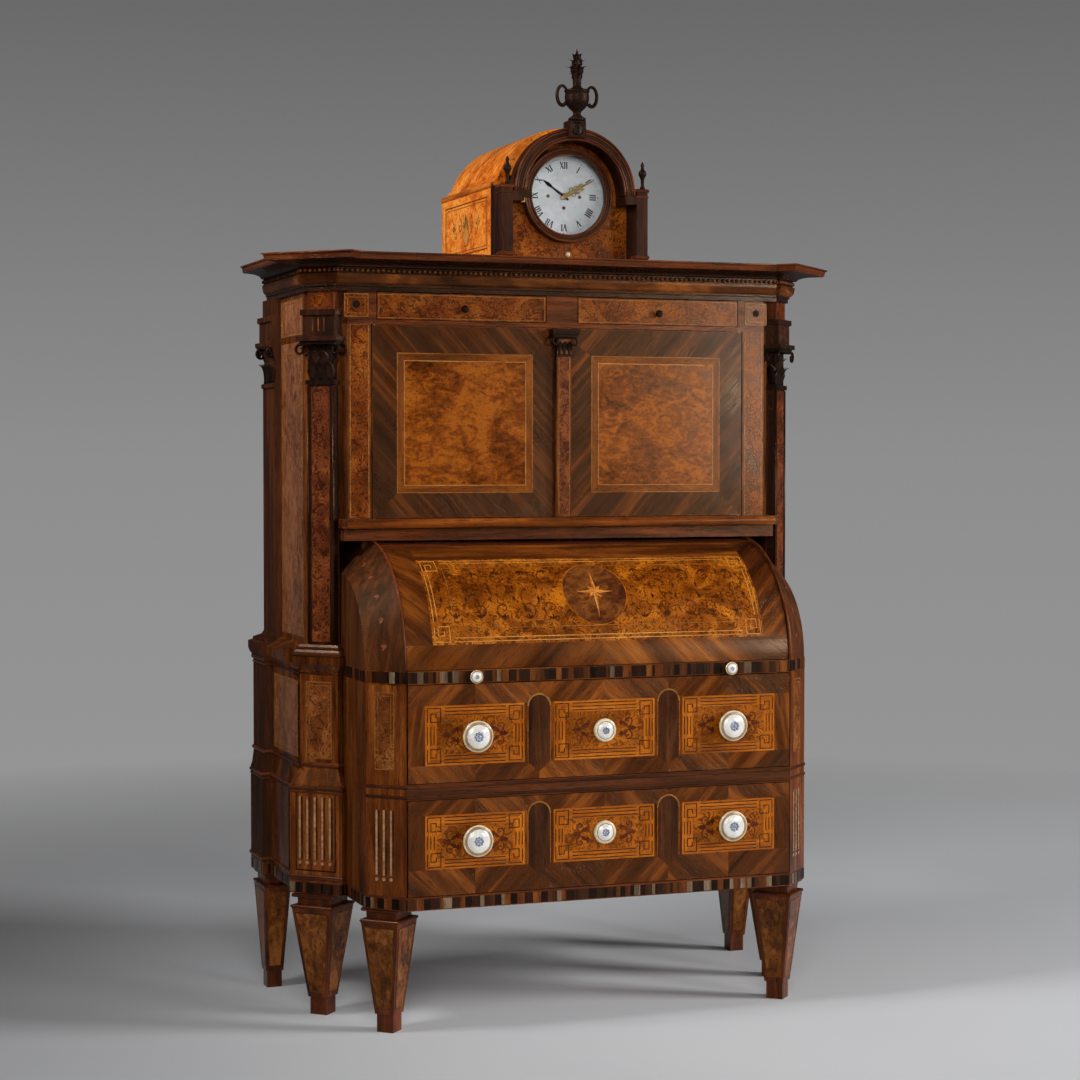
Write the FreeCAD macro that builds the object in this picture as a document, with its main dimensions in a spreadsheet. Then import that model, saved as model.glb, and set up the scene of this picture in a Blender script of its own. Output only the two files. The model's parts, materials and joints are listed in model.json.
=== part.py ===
import FreeCAD, Part
import math
import os
from types import SimpleNamespace

import Sketcher

# A cylinder desk: six-legged base with two long drawers, a pull-out writing slide under a
# quarter-cylinder fall, a two-door cabinet with frieze drawers and pilastered wings, and a clock.
# Millimetres, +Z up, X to the right, Y to the back. Depths are drawn from the plane of the drawer
# fronts and then moved so that the origin lies under the middle of the whole piece.

SIZES = {
    # plan of the desk and cabinet
    "front_half": 436.0,        # half the width of the drawer fronts
    "cant": 70.0,               # canted front corner, the same in width and depth
    "post_depth": 25.0,         # corner post behind the cant
    "cabinet_front": 253.0,     # plane of the doors
    "cabinet_back": 645.0,
    "board": 20.0,
    # heights, from the floor up
    "leg_height": 265.0,
    "plinth_thick": 28.0,
    "lower_height": 201.0,      # opening of the lower drawer
    "rail_thick": 33.0,
    "upper_height": 206.0,      # opening of the upper drawer
    "slide_thick": 28.0,
    "cheek_radius": 262.0,
    "shelf_thick": 47.0,
    "door_height": 417.0,
    "frieze_floor": 10.0,
    "frieze_height": 60.0,
    "architrave_height": 43.0,
    "cornice_height": 35.0,
    # clearances
    "reveal": 1.5,              # visible gap round a drawer front
    "seat_gap": 0.3,            # gap where a moving piece rides on its seat
    "pin_play": 0.05,           # radial play of a pin in its bore
    "overrun": 5.0,             # how far a cutting tool passes the face it cuts
    # legs
    "foot_height": 38.0,
    "neck_height": 30.0,
    "front_leg_out": 14.0,
    "front_leg_back": 18.0,
    "front_leg_top": 87.0,
    "front_leg_foot": 44.0,
    "middle_leg_top": 98.0,
    "middle_leg_foot": 46.0,
    "middle_leg_out": 5.0,
    "middle_leg_shift": 8.0,
    "rear_leg_out": 10.0,
    "rear_leg_inset": 55.0,
    "rear_leg_width": 60.0,
    "rear_leg_depth": 104.0,
    "rear_leg_foot": 40.0,
    # drawers
    "front_thick": 22.0,
    "drawer_back_gap": 45.0,
    "drawer_wall": 12.0,
    "drawer_floor": 8.0,
    "drawer_floor_rise": 6.0,
    "drawer_side_gap": 4.0,
    "drawer_top_gap": 11.0,     # under the slide runner
    "knob_inset": 146.0,        # from the edge of the drawer front to the knob
    "upper_knob_rise": 97.0,
    "lower_knob_rise": 114.0,
    "knob_radius": 33.0,
    "knob_reach": 34.0,
    "rosette_radius": 25.0,
    "rosette_reach": 11.0,
    # writing slide
    "runner_width": 30.0,
    "runner_thick": 20.0,
    "runner_start": 30.0,
    "slide_lip": 40.0,          # depth of the wide front strip of the slide
    "slide_side_gap": 18.0,     # the board behind the strip is narrower by this on each side
    "slide_back_gap": 25.0,
    "slide_knob_radius": 14.0,
    "slide_knob_reach": 18.0,
    # cylinder
    "cheek_setback": 2.0,
    "shell_gap": 5.0,
    "shell_thick": 15.0,
    "shell_side_gap": 2.0,
    "shell_end": 12.0,
    "hub_radius": 16.0,
    "pivot_radius": 8.0,
    "pivot_length": 13.0,
    # pigeonhole nest
    "nest_gap": 31.0,
    "nest_setback": 36.0,       # behind the axis of the cylinder
    "nest_depth": 130.0,
    "nest_height": 135.0,
    "nest_board": 8.0,
    "nest_floor_gap": 4.0,
    # shelf above the cylinder
    "shelf_reach": 35.0,        # in front of the doors
    "shelf_lip": 20.0,
    "shelf_step": 14.0,
    "shelf_end": 5.0,
    # wings and pilasters
    "wing_step": 61.0,          # the wings stand out beyond the desk sides
    "wing_cut": 76.0,
    "corner_depth": 117.0,
    "rear_width": 115.0,
    "base_swell": 21.0,
    "low_swell": 27.0,
    "cap_swell": 35.0,
    "pedestal_low": 207.0,
    "pedestal_step": 35.0,
    "pedestal_high": 205.0,
    "pedestal_cap": 60.0,
    "low_width": 128.0,
    "low_depth": 48.0,
    "high_width": 93.0,
    "high_depth": 33.0,
    "cap_overhang": 12.0,
    "shaft_width": 62.0,
    "shaft_depth": 22.0,
    "capital_height": 93.0,
    "capital_flare": 18.0,
    "entablature_height": 97.0,
    "architrave_block": 57.0,
    "architrave_swell": 8.0,
    "rear_swell": 14.0,
    "rear_base_swell": 39.0,
    "rear_low_swell": 46.0,
    # doors and the cabinet inside
    "stile_gap": 2.0,
    "door_gap": 2.5,
    "door_end_gap": 1.0,
    "door_thick": 22.0,
    "meeting_gap": 2.0,
    "strip_width": 33.0,
    "strip_depth": 12.0,
    "pin_radius": 2.5,
    "pin_length": 15.0,
    "pin_inset": 4.5,
    "cabinet_shelf_rise": 200.0,
    "frieze_inset": 11.0,
    "frieze_die_half": 36.0,
    "frieze_depth": 270.0,
    "frieze_side_drop": 12.0,
    "frieze_knob_inset": 207.0,
    "frieze_knob_rise": 26.0,
    "frieze_knob_radius": 8.0,
    "frieze_knob_reach": 13.0,
    # cornice
    "cornice_front": 88.0,
    "cornice_corner": 80.0,
    "cornice_side": 65.0,
    "cornice_inset": 12.0,
    "cornice_hollow": 55.0,
    # clock case
    "clock_inset": 2.0,
    "clock_wall": 12.0,
    "wall_rise": 20.0,          # the case walls end above the middle of the dial
    "clock_back_gap": 50.0,
    "clock_floor": 10.0,
    "panel_reach": 21.0,        # in front of the doors
    "panel_thick": 12.0,
    "hood_gap": 3.0,            # between the arch and the hood pilasters
    "hood_depth": 60.0,
    "hood_pilaster": 26.0,
    "hood_rise": 15.0,          # the hood pilasters end this far above the middle of the dial
    "impost_height": 20.0,
    "arch_gap": 11.0,           # round the bezel
    "arch_width": 27.0,
    "arch_depth": 33.0,
    "arch_rebate": 4.0,         # the rear of the arch is wider inside and narrower outside
    "arch_step": 12.0,
    "roof_inset_side": 8.0,
    "roof_drop": 32.0,          # the centre of the roof's curve lies this far under the case's top
    "roof_thick": 12.0,
    "roof_inset": 20.0,
    "roof_ledge": 22.0,
    "roof_shoulder": 18.0,
    "gable_thick": 8.0,
    "window_gap": 2.0,
    "keystone_half": 19.0,
    "keystone_rise": 14.0,
    "keystone_drop": 22.0,
    "keystone_reach": 14.0,
    "urn_radius": 26.0,
    "urn_height": 155.0,
    "finial_radius": 9.0,
    "finial_height": 60.0,
    # clock works
    "dial_rise": 140.0,
    "dial_lap": 7.0,
    "dial_thick": 3.0,
    "dial_bore": 4.0,
    "bezel_lap": 6.0,
    "bezel_inner": 86.0,
    "bezel_wall": 5.5,
    "bezel_width": 17.0,
    "bezel_lip": 12.0,
    "bezel_depth": 19.5,
    "glass_thick": 2.0,
    "hinge_offset": 5.5,
    "hinge_pin": 2.0,
    "lug_half": 9.0,
    "lug_wall": 2.5,
    "ear_height": 10.0,
    "ear_gap": 1.0,
    "plate_half": 65.0,
    "plate_drop": 85.0,         # below and above the middle of the dial
    "plate_rise": 95.0,
    "plate_thick": 3.0,
    "plate_space": 42.0,
    "dial_stand_off": 8.0,
    "pillar_radius": 4.0,
    "pillar_inset": 8.0,
    "barrel_radius": 27.0,
    "barrel_x": 33.0,
    "barrel_drop": 40.0,
    "seat_half": 80.0,
    "hour_pipe": 3.0,
    "minute_arbor": 1.5,
    "hand_thick": 2.0,
    "hand_gap": 3.0,
    "hour_hand_gap": 36.0,      # from the tip to the bezel
    "hour_hand_width": 7.0,
    "minute_hand_gap": 10.0,
    "minute_hand_width": 5.0,
    "hand_tail": 12.0,
    "pendulum_pin": 2.0,
    "pendulum_hub": 6.0,
    "pendulum_drop": 10.0,
    "pendulum_reach": 9.0,
    "pendulum_thick": 10.0,
    "bob_gap": 20.0,            # over the case floor
    "rod_width": 6.0,
    "bob_radius": 30.0,
}

# angles, in degrees
SHELL_ANGLE = 89.8
QUARTER_TURN = 90.0
HALF_TURN = 180.0
FULL_TURN = 360.0
DIAGONAL_ANGLE = 45.0
HOUR_HAND_ANGLE = 305.0
MINUTE_HAND_ANGLE = 61.0
ROOT_TWO = math.sqrt(2.0)

# turned outlines: radius and height as shares of the largest radius and the whole height
KNOB_SHARES = [(0, 0), (1, 0), (1, 0.14), (0.86, 0.26), (0.5, 0.32), (0.4, 0.5), (0.56, 0.7),
               (0.6, 0.84), (0.46, 0.96), (0, 1)]
ROSETTE_SHARES = [(0, 0), (1, 0), (1, 0.4), (0.86, 0.7), (0.5, 0.8), (0.4, 1), (0, 1)]
BUTTON_SHARES = [(0, 0), (0.55, 0), (0.5, 0.35), (0.95, 0.6), (1, 0.78), (0.7, 0.97), (0, 1)]
URN_SHARES = [(0, 0), (0.62, 0), (0.62, 0.04), (0.28, 0.08), (0.22, 0.13), (0.62, 0.2), (1, 0.3),
              (0.92, 0.36), (0.62, 0.4), (0.66, 0.46), (0.42, 0.52), (0.56, 0.58), (0.3, 0.68),
              (0.38, 0.73), (0.16, 0.86), (0, 1)]
FINIAL_SHARES = [(0, 0), (0.55, 0), (0.4, 0.14), (0.5, 0.36), (1, 0.5), (0.85, 0.66), (0.3, 0.78), (0, 1)]
FOOT_SHARE = 0.86           # the foot block, against the end of the taper
NECK_SHARE = 0.8            # the neck above the taper, against its top
CORNICE_HEIGHT_SHARES = [0, 0.28, 0.34, 0.5, 0.86, 1]
CORNICE_REACH_SHARES = [0.12, 0.16, 0.3, 0.36, 0.94, 1]
NEST_HOLES = 6
CAPITAL_NECK_SHARE = 0.12
CAPITAL_ABACUS_SHARE = 0.2


class Size:
    """A length with its value and the sheet expression that it is bound by."""

    def __init__(self, value, text):
        self.value = value
        self.text = text

    def joined(self, other, sign):
        other = other if isinstance(other, Size) else Size(float(other), str(float(other)))
        value = self.value + other.value if sign == "+" else self.value - other.value
        return Size(value, f"({self.text} {sign} {other.text})")

    def __add__(self, other):
        return self.joined(other, "+")

    def __sub__(self, other):
        return self.joined(other, "-")

    def __mul__(self, factor):
        return Size(self.value * factor, f"({self.text} * {factor})")

    def __rmul__(self, factor):
        return self * factor

    def __truediv__(self, factor):
        return Size(self.value / factor, f"({self.text} / {factor})")

    def __neg__(self):
        return self * -1


ZERO = Size(0.0, "0")
SIDES = {"left": -1, "right": 1}

doc = FreeCAD.newDocument("CylinderDesk")
sheet = doc.addObject("Spreadsheet::Sheet", "Sizes")
for row, (alias, number) in enumerate(SIZES.items(), start=1):
    sheet.set(f"A{row}", alias)
    sheet.set(f"B{row}", str(number))
    sheet.setAlias(f"B{row}", alias)
doc.recompute()
S = SimpleNamespace(**{alias: Size(number, f"Sizes.{alias}") for alias, number in SIZES.items()})
nodes = []
pivots = []


def bind(item, prop, size):
    """Binds one property to the sheet."""
    item.setExpression(prop, size.text)


def place(item, x=ZERO, y=ZERO, z=ZERO, turn=None):
    """Puts an item at a point, with its depth counted from the drawer fronts."""
    if turn is not None:
        item.Placement = FreeCAD.Placement(FreeCAD.Vector(), turn)
    bind(item, "Placement.Base.x", x)
    bind(item, "Placement.Base.y", y - MIDDLE)
    bind(item, "Placement.Base.z", z)
    return item


def turned_about(axis, angle):
    """Returns a rotation about one of the three axes."""
    vectors = {"x": FreeCAD.Vector(1, 0, 0), "y": FreeCAD.Vector(0, 1, 0), "z": FreeCAD.Vector(0, 0, 1)}
    return FreeCAD.Rotation(vectors[axis], angle)


def box(label, low, high):
    """Makes a board between two corners."""
    item = doc.addObject("Part::Box", label)
    bind(item, "Length", high[0] - low[0])
    bind(item, "Width", high[1] - low[1])
    bind(item, "Height", high[2] - low[2])
    return place(item, *low)


def rod(label, radius, length, x, y, z, axis="z", angle=FULL_TURN):
    """Makes a round rod from a point along +Z, +X or -Y."""
    item = doc.addObject("Part::Cylinder", label)
    bind(item, "Radius", radius)
    bind(item, "Height", length)
    item.Angle = angle
    turns = {"z": None, "x": turned_about("y", QUARTER_TURN), "-y": turned_about("x", QUARTER_TURN)}
    return place(item, x, y, z, turns[axis])


def cut(label, base, tools):
    """Cuts tools out of a base."""
    tool = tools[0] if len(tools) == 1 else joined(label + "_tools", tools)
    item = doc.addObject("Part::Cut", label)
    item.Base = base
    item.Tool = tool
    return item


def joined(label, members):
    """Fuses members into one solid."""
    item = doc.addObject("Part::MultiFuse", label)
    item.Shapes = members
    return item


def group(label, members):
    """Keeps several separate solids in one node."""
    item = doc.addObject("Part::Compound", label)
    item.Links = members
    return item


def node(item):
    """Adds an item to the nodes that are written out."""
    nodes.append(item)
    return item


def new_body(label):
    """Makes an empty body that stands in the common frame."""
    return place(doc.addObject("PartDesign::Body", label))


def outline(body, role, points, offset=ZERO):
    """Draws a closed outline on one of the body's own planes, every corner bound to the sheet."""
    sketch = body.newObject("Sketcher::SketchObject", f"{body.Name}_outline")
    sketch.AttachmentSupport = [(f, "") for f in body.Origin.OriginFeatures if f.Role == role]
    sketch.MapMode = "FlatFace"
    bind(sketch, "AttachmentOffset.Base.z", offset)
    corners = [FreeCAD.Vector(x.value, y.value, 0) for x, y in points]
    count = len(corners)
    sketch.addGeometry([Part.LineSegment(corners[i], corners[(i + 1) % count]) for i in range(count)])
    for i in range(count):
        sketch.addConstraint(Sketcher.Constraint("Coincident", i, 2, (i + 1) % count, 1))
    for i, point in enumerate(points):
        for kind, size in zip(("DistanceX", "DistanceY"), point):
            number = sketch.addConstraint(Sketcher.Constraint(kind, -1, 1, i, 1, size.value))
            bind(sketch, f"Constraints[{number}]", size)
    return sketch


def pad(body, role, points, start, length):
    """Pads an outline from a start height along the plane's axis."""
    backward = role == "XZ_Plane"
    feature = body.newObject("PartDesign::Pad", f"{body.Name}_pad")
    feature.Profile = outline(body, role, points, -start if backward else start)
    feature.Reversed = backward
    bind(feature, "Length", length)
    return feature


def revolve(body, role, points, axis, angle, reverse=False, kind="Revolution"):
    """Turns an outline about one of its sketch's own axes."""
    sketch = outline(body, role, points)
    feature = body.newObject(f"PartDesign::{kind}", f"{body.Name}_turn")
    feature.Profile = sketch
    feature.ReferenceAxis = (sketch, [axis])
    feature.Angle = angle
    feature.Reversed = reverse
    return feature


def loft(body, sections):
    """Lofts straight between outlines at several heights."""
    sketches = [outline(body, "XY_Plane", points, height) for points, height in sections]
    feature = body.newObject("PartDesign::AdditiveLoft", f"{body.Name}_loft")
    feature.Profile = sketches[0]
    feature.Sections = sketches[1:]
    feature.Ruled = True
    return feature


def pocket(body, points, start, height):
    """Cuts an upright hole that begins at a start height."""
    feature = body.newObject("PartDesign::Pocket", f"{body.Name}_pocket")
    feature.Profile = outline(body, "XY_Plane", points, start)
    feature.Reversed = True
    bind(feature, "Length", height)
    return feature


def rectangle(low_x, low_y, high_x, high_y):
    """Returns the corners of a rectangle."""
    return [(low_x, low_y), (high_x, low_y), (high_x, high_y), (low_x, high_y)]


def turned(label, shares, radius, height, x, y, z, forward=False):
    """Makes a turned piece from an outline of shares, upright or facing forward."""
    body = new_body(label)
    points = [(radius * r, height * h) for r, h in shares]
    revolve(body, "XZ_Plane", points, "V_Axis", FULL_TURN)
    return place(body, x, y, z, turned_about("x", QUARTER_TURN) if forward else None)


def sided(side, points):
    """Mirrors an outline to the left where the side asks for it."""
    return [(x * SIDES[side], y) for x, y in points]


def span(side, near, far):
    """Returns the low and high X of a piece that lies between two distances from the middle."""
    return (near, far) if side == "right" else (-far, -near)


# places worked out from the sizes
MIDDLE = (S.cabinet_back - S.knob_reach) / 2
SIDE_HALF = S.front_half + S.cant
WING_HALF = SIDE_HALF + S.wing_step
KNOB_X = S.front_half - S.knob_inset
FRIEZE_END = S.front_half - S.frieze_inset
CORNER_BACK = S.cabinet_front + S.corner_depth
REAR_FRONT = S.cabinet_back - S.rear_width
SHELF_FRONT = S.cabinet_front - S.shelf_reach
Z_LOWER = S.leg_height + S.plinth_thick
Z_RAIL = Z_LOWER + S.lower_height
Z_UPPER = Z_RAIL + S.rail_thick
Z_SLIDE = Z_UPPER + S.upper_height
Z_DESK = Z_SLIDE + S.slide_thick
Z_SHELF = Z_DESK + S.cheek_radius
Z_CABINET = Z_SHELF + S.shelf_thick
Z_CEILING = Z_CABINET + S.door_height
Z_FRIEZE = Z_CEILING + S.frieze_floor
Z_ARCHITRAVE = Z_FRIEZE + S.frieze_height
Z_TOP = Z_ARCHITRAVE + S.architrave_height + S.cornice_height
GUIDE_X = S.front_half + S.reveal
BACK_FACE = S.cabinet_back - S.board
AXIS_Y = S.cheek_radius + S.cheek_setback
NEST_HALF = S.front_half - S.nest_gap
NEST_FRONT = AXIS_Y + S.nest_setback
NEST_BACK = NEST_FRONT + S.nest_depth
WING_INNER = WING_HALF - S.board
CUT_X = WING_HALF - S.wing_cut
DIAGONAL_X = WING_HALF - S.wing_cut / 2
DIAGONAL_Y = S.cabinet_front + S.wing_cut / 2
DESK_LINE = (DIAGONAL_X - SIDE_HALF) * ROOT_TWO
CUT_THICK = S.board * ROOT_TWO
Z_STEP = Z_LOWER + S.pedestal_low
Z_HIGH = Z_STEP + S.pedestal_step
Z_CAP = Z_HIGH + S.pedestal_high
Z_SHAFT = Z_CAP + S.pedestal_cap
Z_ENTABLATURE = Z_ARCHITRAVE - S.entablature_height
Z_CAPITAL = Z_ENTABLATURE - S.capital_height
STILE_X = S.front_half + S.stile_gap
DOOR_EDGE = STILE_X - S.door_gap
BEZEL_OUTER = S.bezel_inner + S.bezel_width
BEZEL_REBATE = BEZEL_OUTER - S.bezel_wall
PANEL_HOLE = BEZEL_OUTER - S.bezel_lap
DIAL_RADIUS = PANEL_HOLE + S.dial_lap
ARCH_INNER = BEZEL_OUTER + S.arch_gap
ARCH_OUTER = ARCH_INNER + S.arch_width
HOOD_HALF = ARCH_OUTER + S.hood_gap + S.hood_pilaster
CLOCK_HALF = HOOD_HALF - S.clock_inset
CLOCK_BACK = S.cabinet_back - S.clock_back_gap
ROOF_RADIUS = CLOCK_HALF - S.roof_inset_side
PANEL_FRONT = S.cabinet_front - S.panel_reach
PANEL_BACK = PANEL_FRONT + S.panel_thick
HOOD_FRONT = PANEL_FRONT - S.hood_depth
DIAL_Z = Z_TOP + S.dial_rise
DIAL_BACK = PANEL_BACK + S.dial_thick
PLATE_Y = DIAL_BACK + S.dial_stand_off
REAR_PLATE_Y = PLATE_Y + S.plate_thick + S.plate_space


def cut_line(x):
    """Returns the depth of the wing's cut face at a distance from the middle."""
    return S.cabinet_front + x - CUT_X


def on_diagonal(body, side, out=ZERO, shift=ZERO):
    """Stands a body on the wing's cut face, its own front turned outward."""
    half = (out + shift) / ROOT_TWO
    x = DIAGONAL_X + half
    y = DIAGONAL_Y + (shift - out) / ROOT_TWO
    return place(body, x * SIDES[side], y, ZERO, turned_about("z", DIAGONAL_ANGLE * SIDES[side]))


def taper_leg(label, top_x, top_y, foot_x, foot_y):
    """Makes one leg: foot block, taper and neck, about its own upright axis."""
    body = new_body(label)

    def block(share_x, share_y):
        return rectangle(-share_x / 2, -share_y / 2, share_x / 2, share_y / 2)

    neck_z = S.leg_height - S.neck_height
    pad(body, "XY_Plane", block(foot_x * FOOT_SHARE, foot_y * FOOT_SHARE), ZERO, S.foot_height)
    loft(body, [(block(foot_x, foot_y), S.foot_height), (block(top_x, top_y), neck_z)])
    pad(body, "XY_Plane", block(top_x * NECK_SHARE, top_y * NECK_SHARE), neck_z, S.neck_height)
    return node(body)


def make_legs():
    """Six legs: the front and middle ones stand turned to the canted corners."""
    for side, sign in SIDES.items():
        front = taper_leg(f"leg_front_{side}", S.front_leg_top, S.front_leg_top,
                          S.front_leg_foot, S.front_leg_foot)
        place(front, (S.front_half + S.front_leg_out) * sign, S.cant + S.front_leg_back, ZERO,
              turned_about("z", DIAGONAL_ANGLE))
        middle = taper_leg(f"leg_middle_{side}", S.middle_leg_top, S.middle_leg_top,
                           S.middle_leg_foot, S.middle_leg_foot)
        on_diagonal(middle, side, S.middle_leg_out, S.middle_leg_shift)
        rear = taper_leg(f"leg_rear_{side}", S.rear_leg_width, S.rear_leg_depth,
                         S.rear_leg_foot, S.rear_leg_foot)
        place(rear, (WING_HALF + S.rear_leg_out) * sign, S.cabinet_back - S.rear_leg_inset)


def plinth_half():
    """Returns the right half of the plinth's outline, from the front to the back."""
    half = S.low_width / 2
    out = S.low_depth
    side = WING_HALF + S.low_swell
    rear = WING_HALF + S.rear_low_swell
    return [
        (S.front_half, ZERO),
        (SIDE_HALF, S.cant),
        (SIDE_HALF, DIAGONAL_Y + DIAGONAL_X - SIDE_HALF - half * ROOT_TWO),
        (DIAGONAL_X + (out - half) / ROOT_TWO, DIAGONAL_Y - (out + half) / ROOT_TWO),
        (DIAGONAL_X + (out + half) / ROOT_TWO, DIAGONAL_Y + (half - out) / ROOT_TWO),
        (side, DIAGONAL_Y + half * ROOT_TWO - side + DIAGONAL_X),
        (side, REAR_FRONT),
        (rear, REAR_FRONT),
        (rear, S.cabinet_back),
    ]


def both_halves(points):
    """Closes a half outline with its mirror image."""
    return points + [(-x, y) for x, y in reversed(points)]


def make_base():
    """Plinth, corner posts, sides with drawer guides, rail and runners."""
    plinth = new_body("plinth")
    pad(plinth, "XY_Plane", both_halves(plinth_half()), S.leg_height, S.plinth_thick)
    node(plinth)
    post_back = S.cant + S.post_depth
    for side in SIDES:
        post = new_body(f"corner_post_{side}")
        corners = [(GUIDE_X, S.reveal), (SIDE_HALF, S.cant), (SIDE_HALF, post_back), (GUIDE_X, post_back)]
        pad(post, "XY_Plane", sided(side, corners), Z_LOWER, Z_DESK - Z_LOWER)
        node(post)
        low, high = span(side, SIDE_HALF - S.board, SIDE_HALF)
        outer = box(f"side_board_{side}", (low, post_back, Z_LOWER), (high, cut_line(SIDE_HALF), Z_DESK))
        low, high = span(side, GUIDE_X, GUIDE_X + S.board)
        guide = box(f"drawer_guide_{side}", (low, post_back, Z_LOWER), (high, BACK_FACE, Z_DESK))
        low, high = span(side, GUIDE_X - S.runner_width, GUIDE_X)
        runner = box(f"slide_runner_{side}", (low, S.runner_start, Z_SLIDE - S.runner_thick),
                     (high, BACK_FACE, Z_SLIDE))
        node(group(f"desk_side_{side}", [outer, guide, runner]))
    node(box("drawer_rail", (-GUIDE_X, ZERO, Z_RAIL), (GUIDE_X, BACK_FACE, Z_UPPER)))


def drawer_box(label, left, right, front, back, low, height):
    """Makes the sides, back and floor of a drawer as separate boards."""
    wall = S.drawer_wall
    sides = [box(f"{label}_{name}", (x, front, low), (x + wall, back, low + height))
             for name, x in (("side_a", left), ("side_b", right - wall))]
    rear = box(f"{label}_rear", (left + wall, back - wall, low), (right - wall, back, low + height))
    floor_z = low + S.drawer_floor_rise
    floor = box(f"{label}_floor", (left + wall, front, floor_z),
                (right - wall, back - wall, floor_z + S.drawer_floor))
    return group(label, sides + [rear, floor])


def long_drawer(name, low, height, knob_rise):
    """Makes one long drawer: front, box, two knobs and a key rosette."""
    edge = S.front_half - S.reveal
    node(box(f"{name}_front", (-edge, ZERO, low + S.reveal), (edge, S.front_thick, low + height - S.reveal)))
    inner = S.front_half - S.drawer_side_gap
    node(drawer_box(f"{name}_box", -inner, inner, S.front_thick, BACK_FACE - S.drawer_back_gap,
                    low + S.seat_gap, height - S.runner_thick - S.drawer_top_gap))
    z = low + knob_rise
    fittings = [turned(f"{name}_knob_{side}", KNOB_SHARES, S.knob_radius, S.knob_reach,
                       KNOB_X * sign, ZERO, z, True) for side, sign in SIDES.items()]
    fittings.append(turned(f"{name}_rosette", ROSETTE_SHARES, S.rosette_radius, S.rosette_reach,
                           ZERO, ZERO, z, True))
    node(group(f"{name}_knobs", fittings))


def make_slide():
    """Writing slide: a strip as wide as the drawers, a narrower board behind it and two knobs."""
    wide = S.front_half - S.reveal
    narrow = S.front_half - S.slide_side_gap
    body = new_body("writing_slide")
    corners = [(wide, ZERO), (wide, S.slide_lip), (narrow, S.slide_lip),
               (narrow, BACK_FACE - S.slide_back_gap)]
    pad(body, "XY_Plane", both_halves(corners), Z_SLIDE + S.seat_gap, S.slide_thick - S.seat_gap)
    node(body)
    z = Z_SLIDE + S.slide_thick / 2
    node(group("slide_knobs", [turned(f"slide_knob_{side}", BUTTON_SHARES, S.slide_knob_radius,
                                      S.slide_knob_reach, KNOB_X * sign, ZERO, z, True)
                               for side, sign in SIDES.items()]))


def make_cylinder():
    """Quarter-cylinder shell with quadrant ends, on pins that stand out of the cheeks."""
    outer = S.cheek_radius - S.shell_gap
    inner = outer - S.shell_thick
    edge = S.front_half - S.shell_side_gap
    end = edge - S.shell_end
    body = new_body("cylinder_shell")
    revolve(body, "XZ_Plane", rectangle(-edge, inner, edge, outer), "H_Axis", SHELL_ANGLE)
    for low, high in ((-edge, -end), (end, edge)):
        revolve(body, "XZ_Plane", rectangle(low, ZERO, high, inner + S.shell_thick / 2), "H_Axis",
                SHELL_ANGLE)
        revolve(body, "XZ_Plane", rectangle(low, ZERO, high, S.hub_radius), "H_Axis", FULL_TURN)
    bore = rectangle(-edge - S.overrun, ZERO, edge + S.overrun, S.pivot_radius + S.pin_play)
    doc.recompute()
    revolve(body, "XZ_Plane", bore, "H_Axis", FULL_TURN, kind="Groove")
    node(place(body, ZERO, AXIS_Y, Z_DESK))
    for side in SIDES:
        low, _ = span(side, S.front_half - S.pivot_length, S.front_half)
        pivots.append(rod(f"cylinder_pin_{side}", S.pivot_radius, S.pivot_length, low, AXIS_Y, Z_DESK, "x"))


def make_cheeks():
    """Curved cheeks: the cant of the corner runs round the quarter circle."""
    for side in SIDES:
        body = new_body(f"cheek_{side}")
        section = [(S.front_half, ZERO), (SIDE_HALF, ZERO), (SIDE_HALF, S.cheek_radius - S.cant),
                   (GUIDE_X, S.cheek_radius), (S.front_half, S.cheek_radius)]
        revolve(body, "XZ_Plane", sided(side, section), "H_Axis", QUARTER_TURN)
        low, high = span(side, S.front_half, S.front_half + S.board)
        pad(body, "XY_Plane", rectangle(low, ZERO, high, BACK_FACE - AXIS_Y), ZERO, S.cheek_radius)
        node(place(body, ZERO, AXIS_Y, Z_DESK))


def make_nest():
    """Pigeonholes that stay clear of the turning shell, on a floor fixed to the back panel."""
    low = Z_DESK + S.nest_floor_gap
    floor = box("nest_floor", (-NEST_HALF, NEST_FRONT, low), (NEST_HALF, BACK_FACE, low + S.nest_board))
    base = low + S.nest_board
    top = base + S.nest_height
    boards = [floor, box("nest_top", (-NEST_HALF, NEST_FRONT, top - S.nest_board),
                         (NEST_HALF, NEST_BACK, top))]
    pitch = (NEST_HALF * 2 - S.nest_board) / NEST_HOLES
    for i in range(NEST_HOLES + 1):
        x = pitch * i - NEST_HALF
        boards.append(box(f"nest_upright_{i}", (x, NEST_FRONT, base),
                          (x + S.nest_board, NEST_BACK - S.nest_board, top - S.nest_board)))
    boards.append(box("nest_rear", (-NEST_HALF, NEST_BACK - S.nest_board, base),
                      (NEST_HALF, NEST_BACK, top - S.nest_board)))
    node(group("pigeonholes", boards))


def make_shelf():
    """Shelf over the cylinder with a stepped front, cut to fit between the wings behind."""
    body = new_body("desk_shelf")
    inner = cut_line(SIDE_HALF) + CUT_THICK
    behind = [(SIDE_HALF, inner), (WING_INNER, cut_line(WING_INNER) + CUT_THICK), (WING_INNER, BACK_FACE)]
    low_front = SHELF_FRONT + S.shelf_step
    lower = [(SIDE_HALF, low_front)] + behind
    upper = [(SIDE_HALF + S.shelf_end, SHELF_FRONT), (SIDE_HALF + S.shelf_end, S.cabinet_front),
             (SIDE_HALF, S.cabinet_front)] + behind
    pad(body, "XY_Plane", both_halves(lower), Z_SHELF, S.shelf_thick - S.shelf_lip)
    pad(body, "XY_Plane", both_halves(upper), Z_CABINET - S.shelf_lip, S.shelf_lip)
    node(body)


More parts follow.
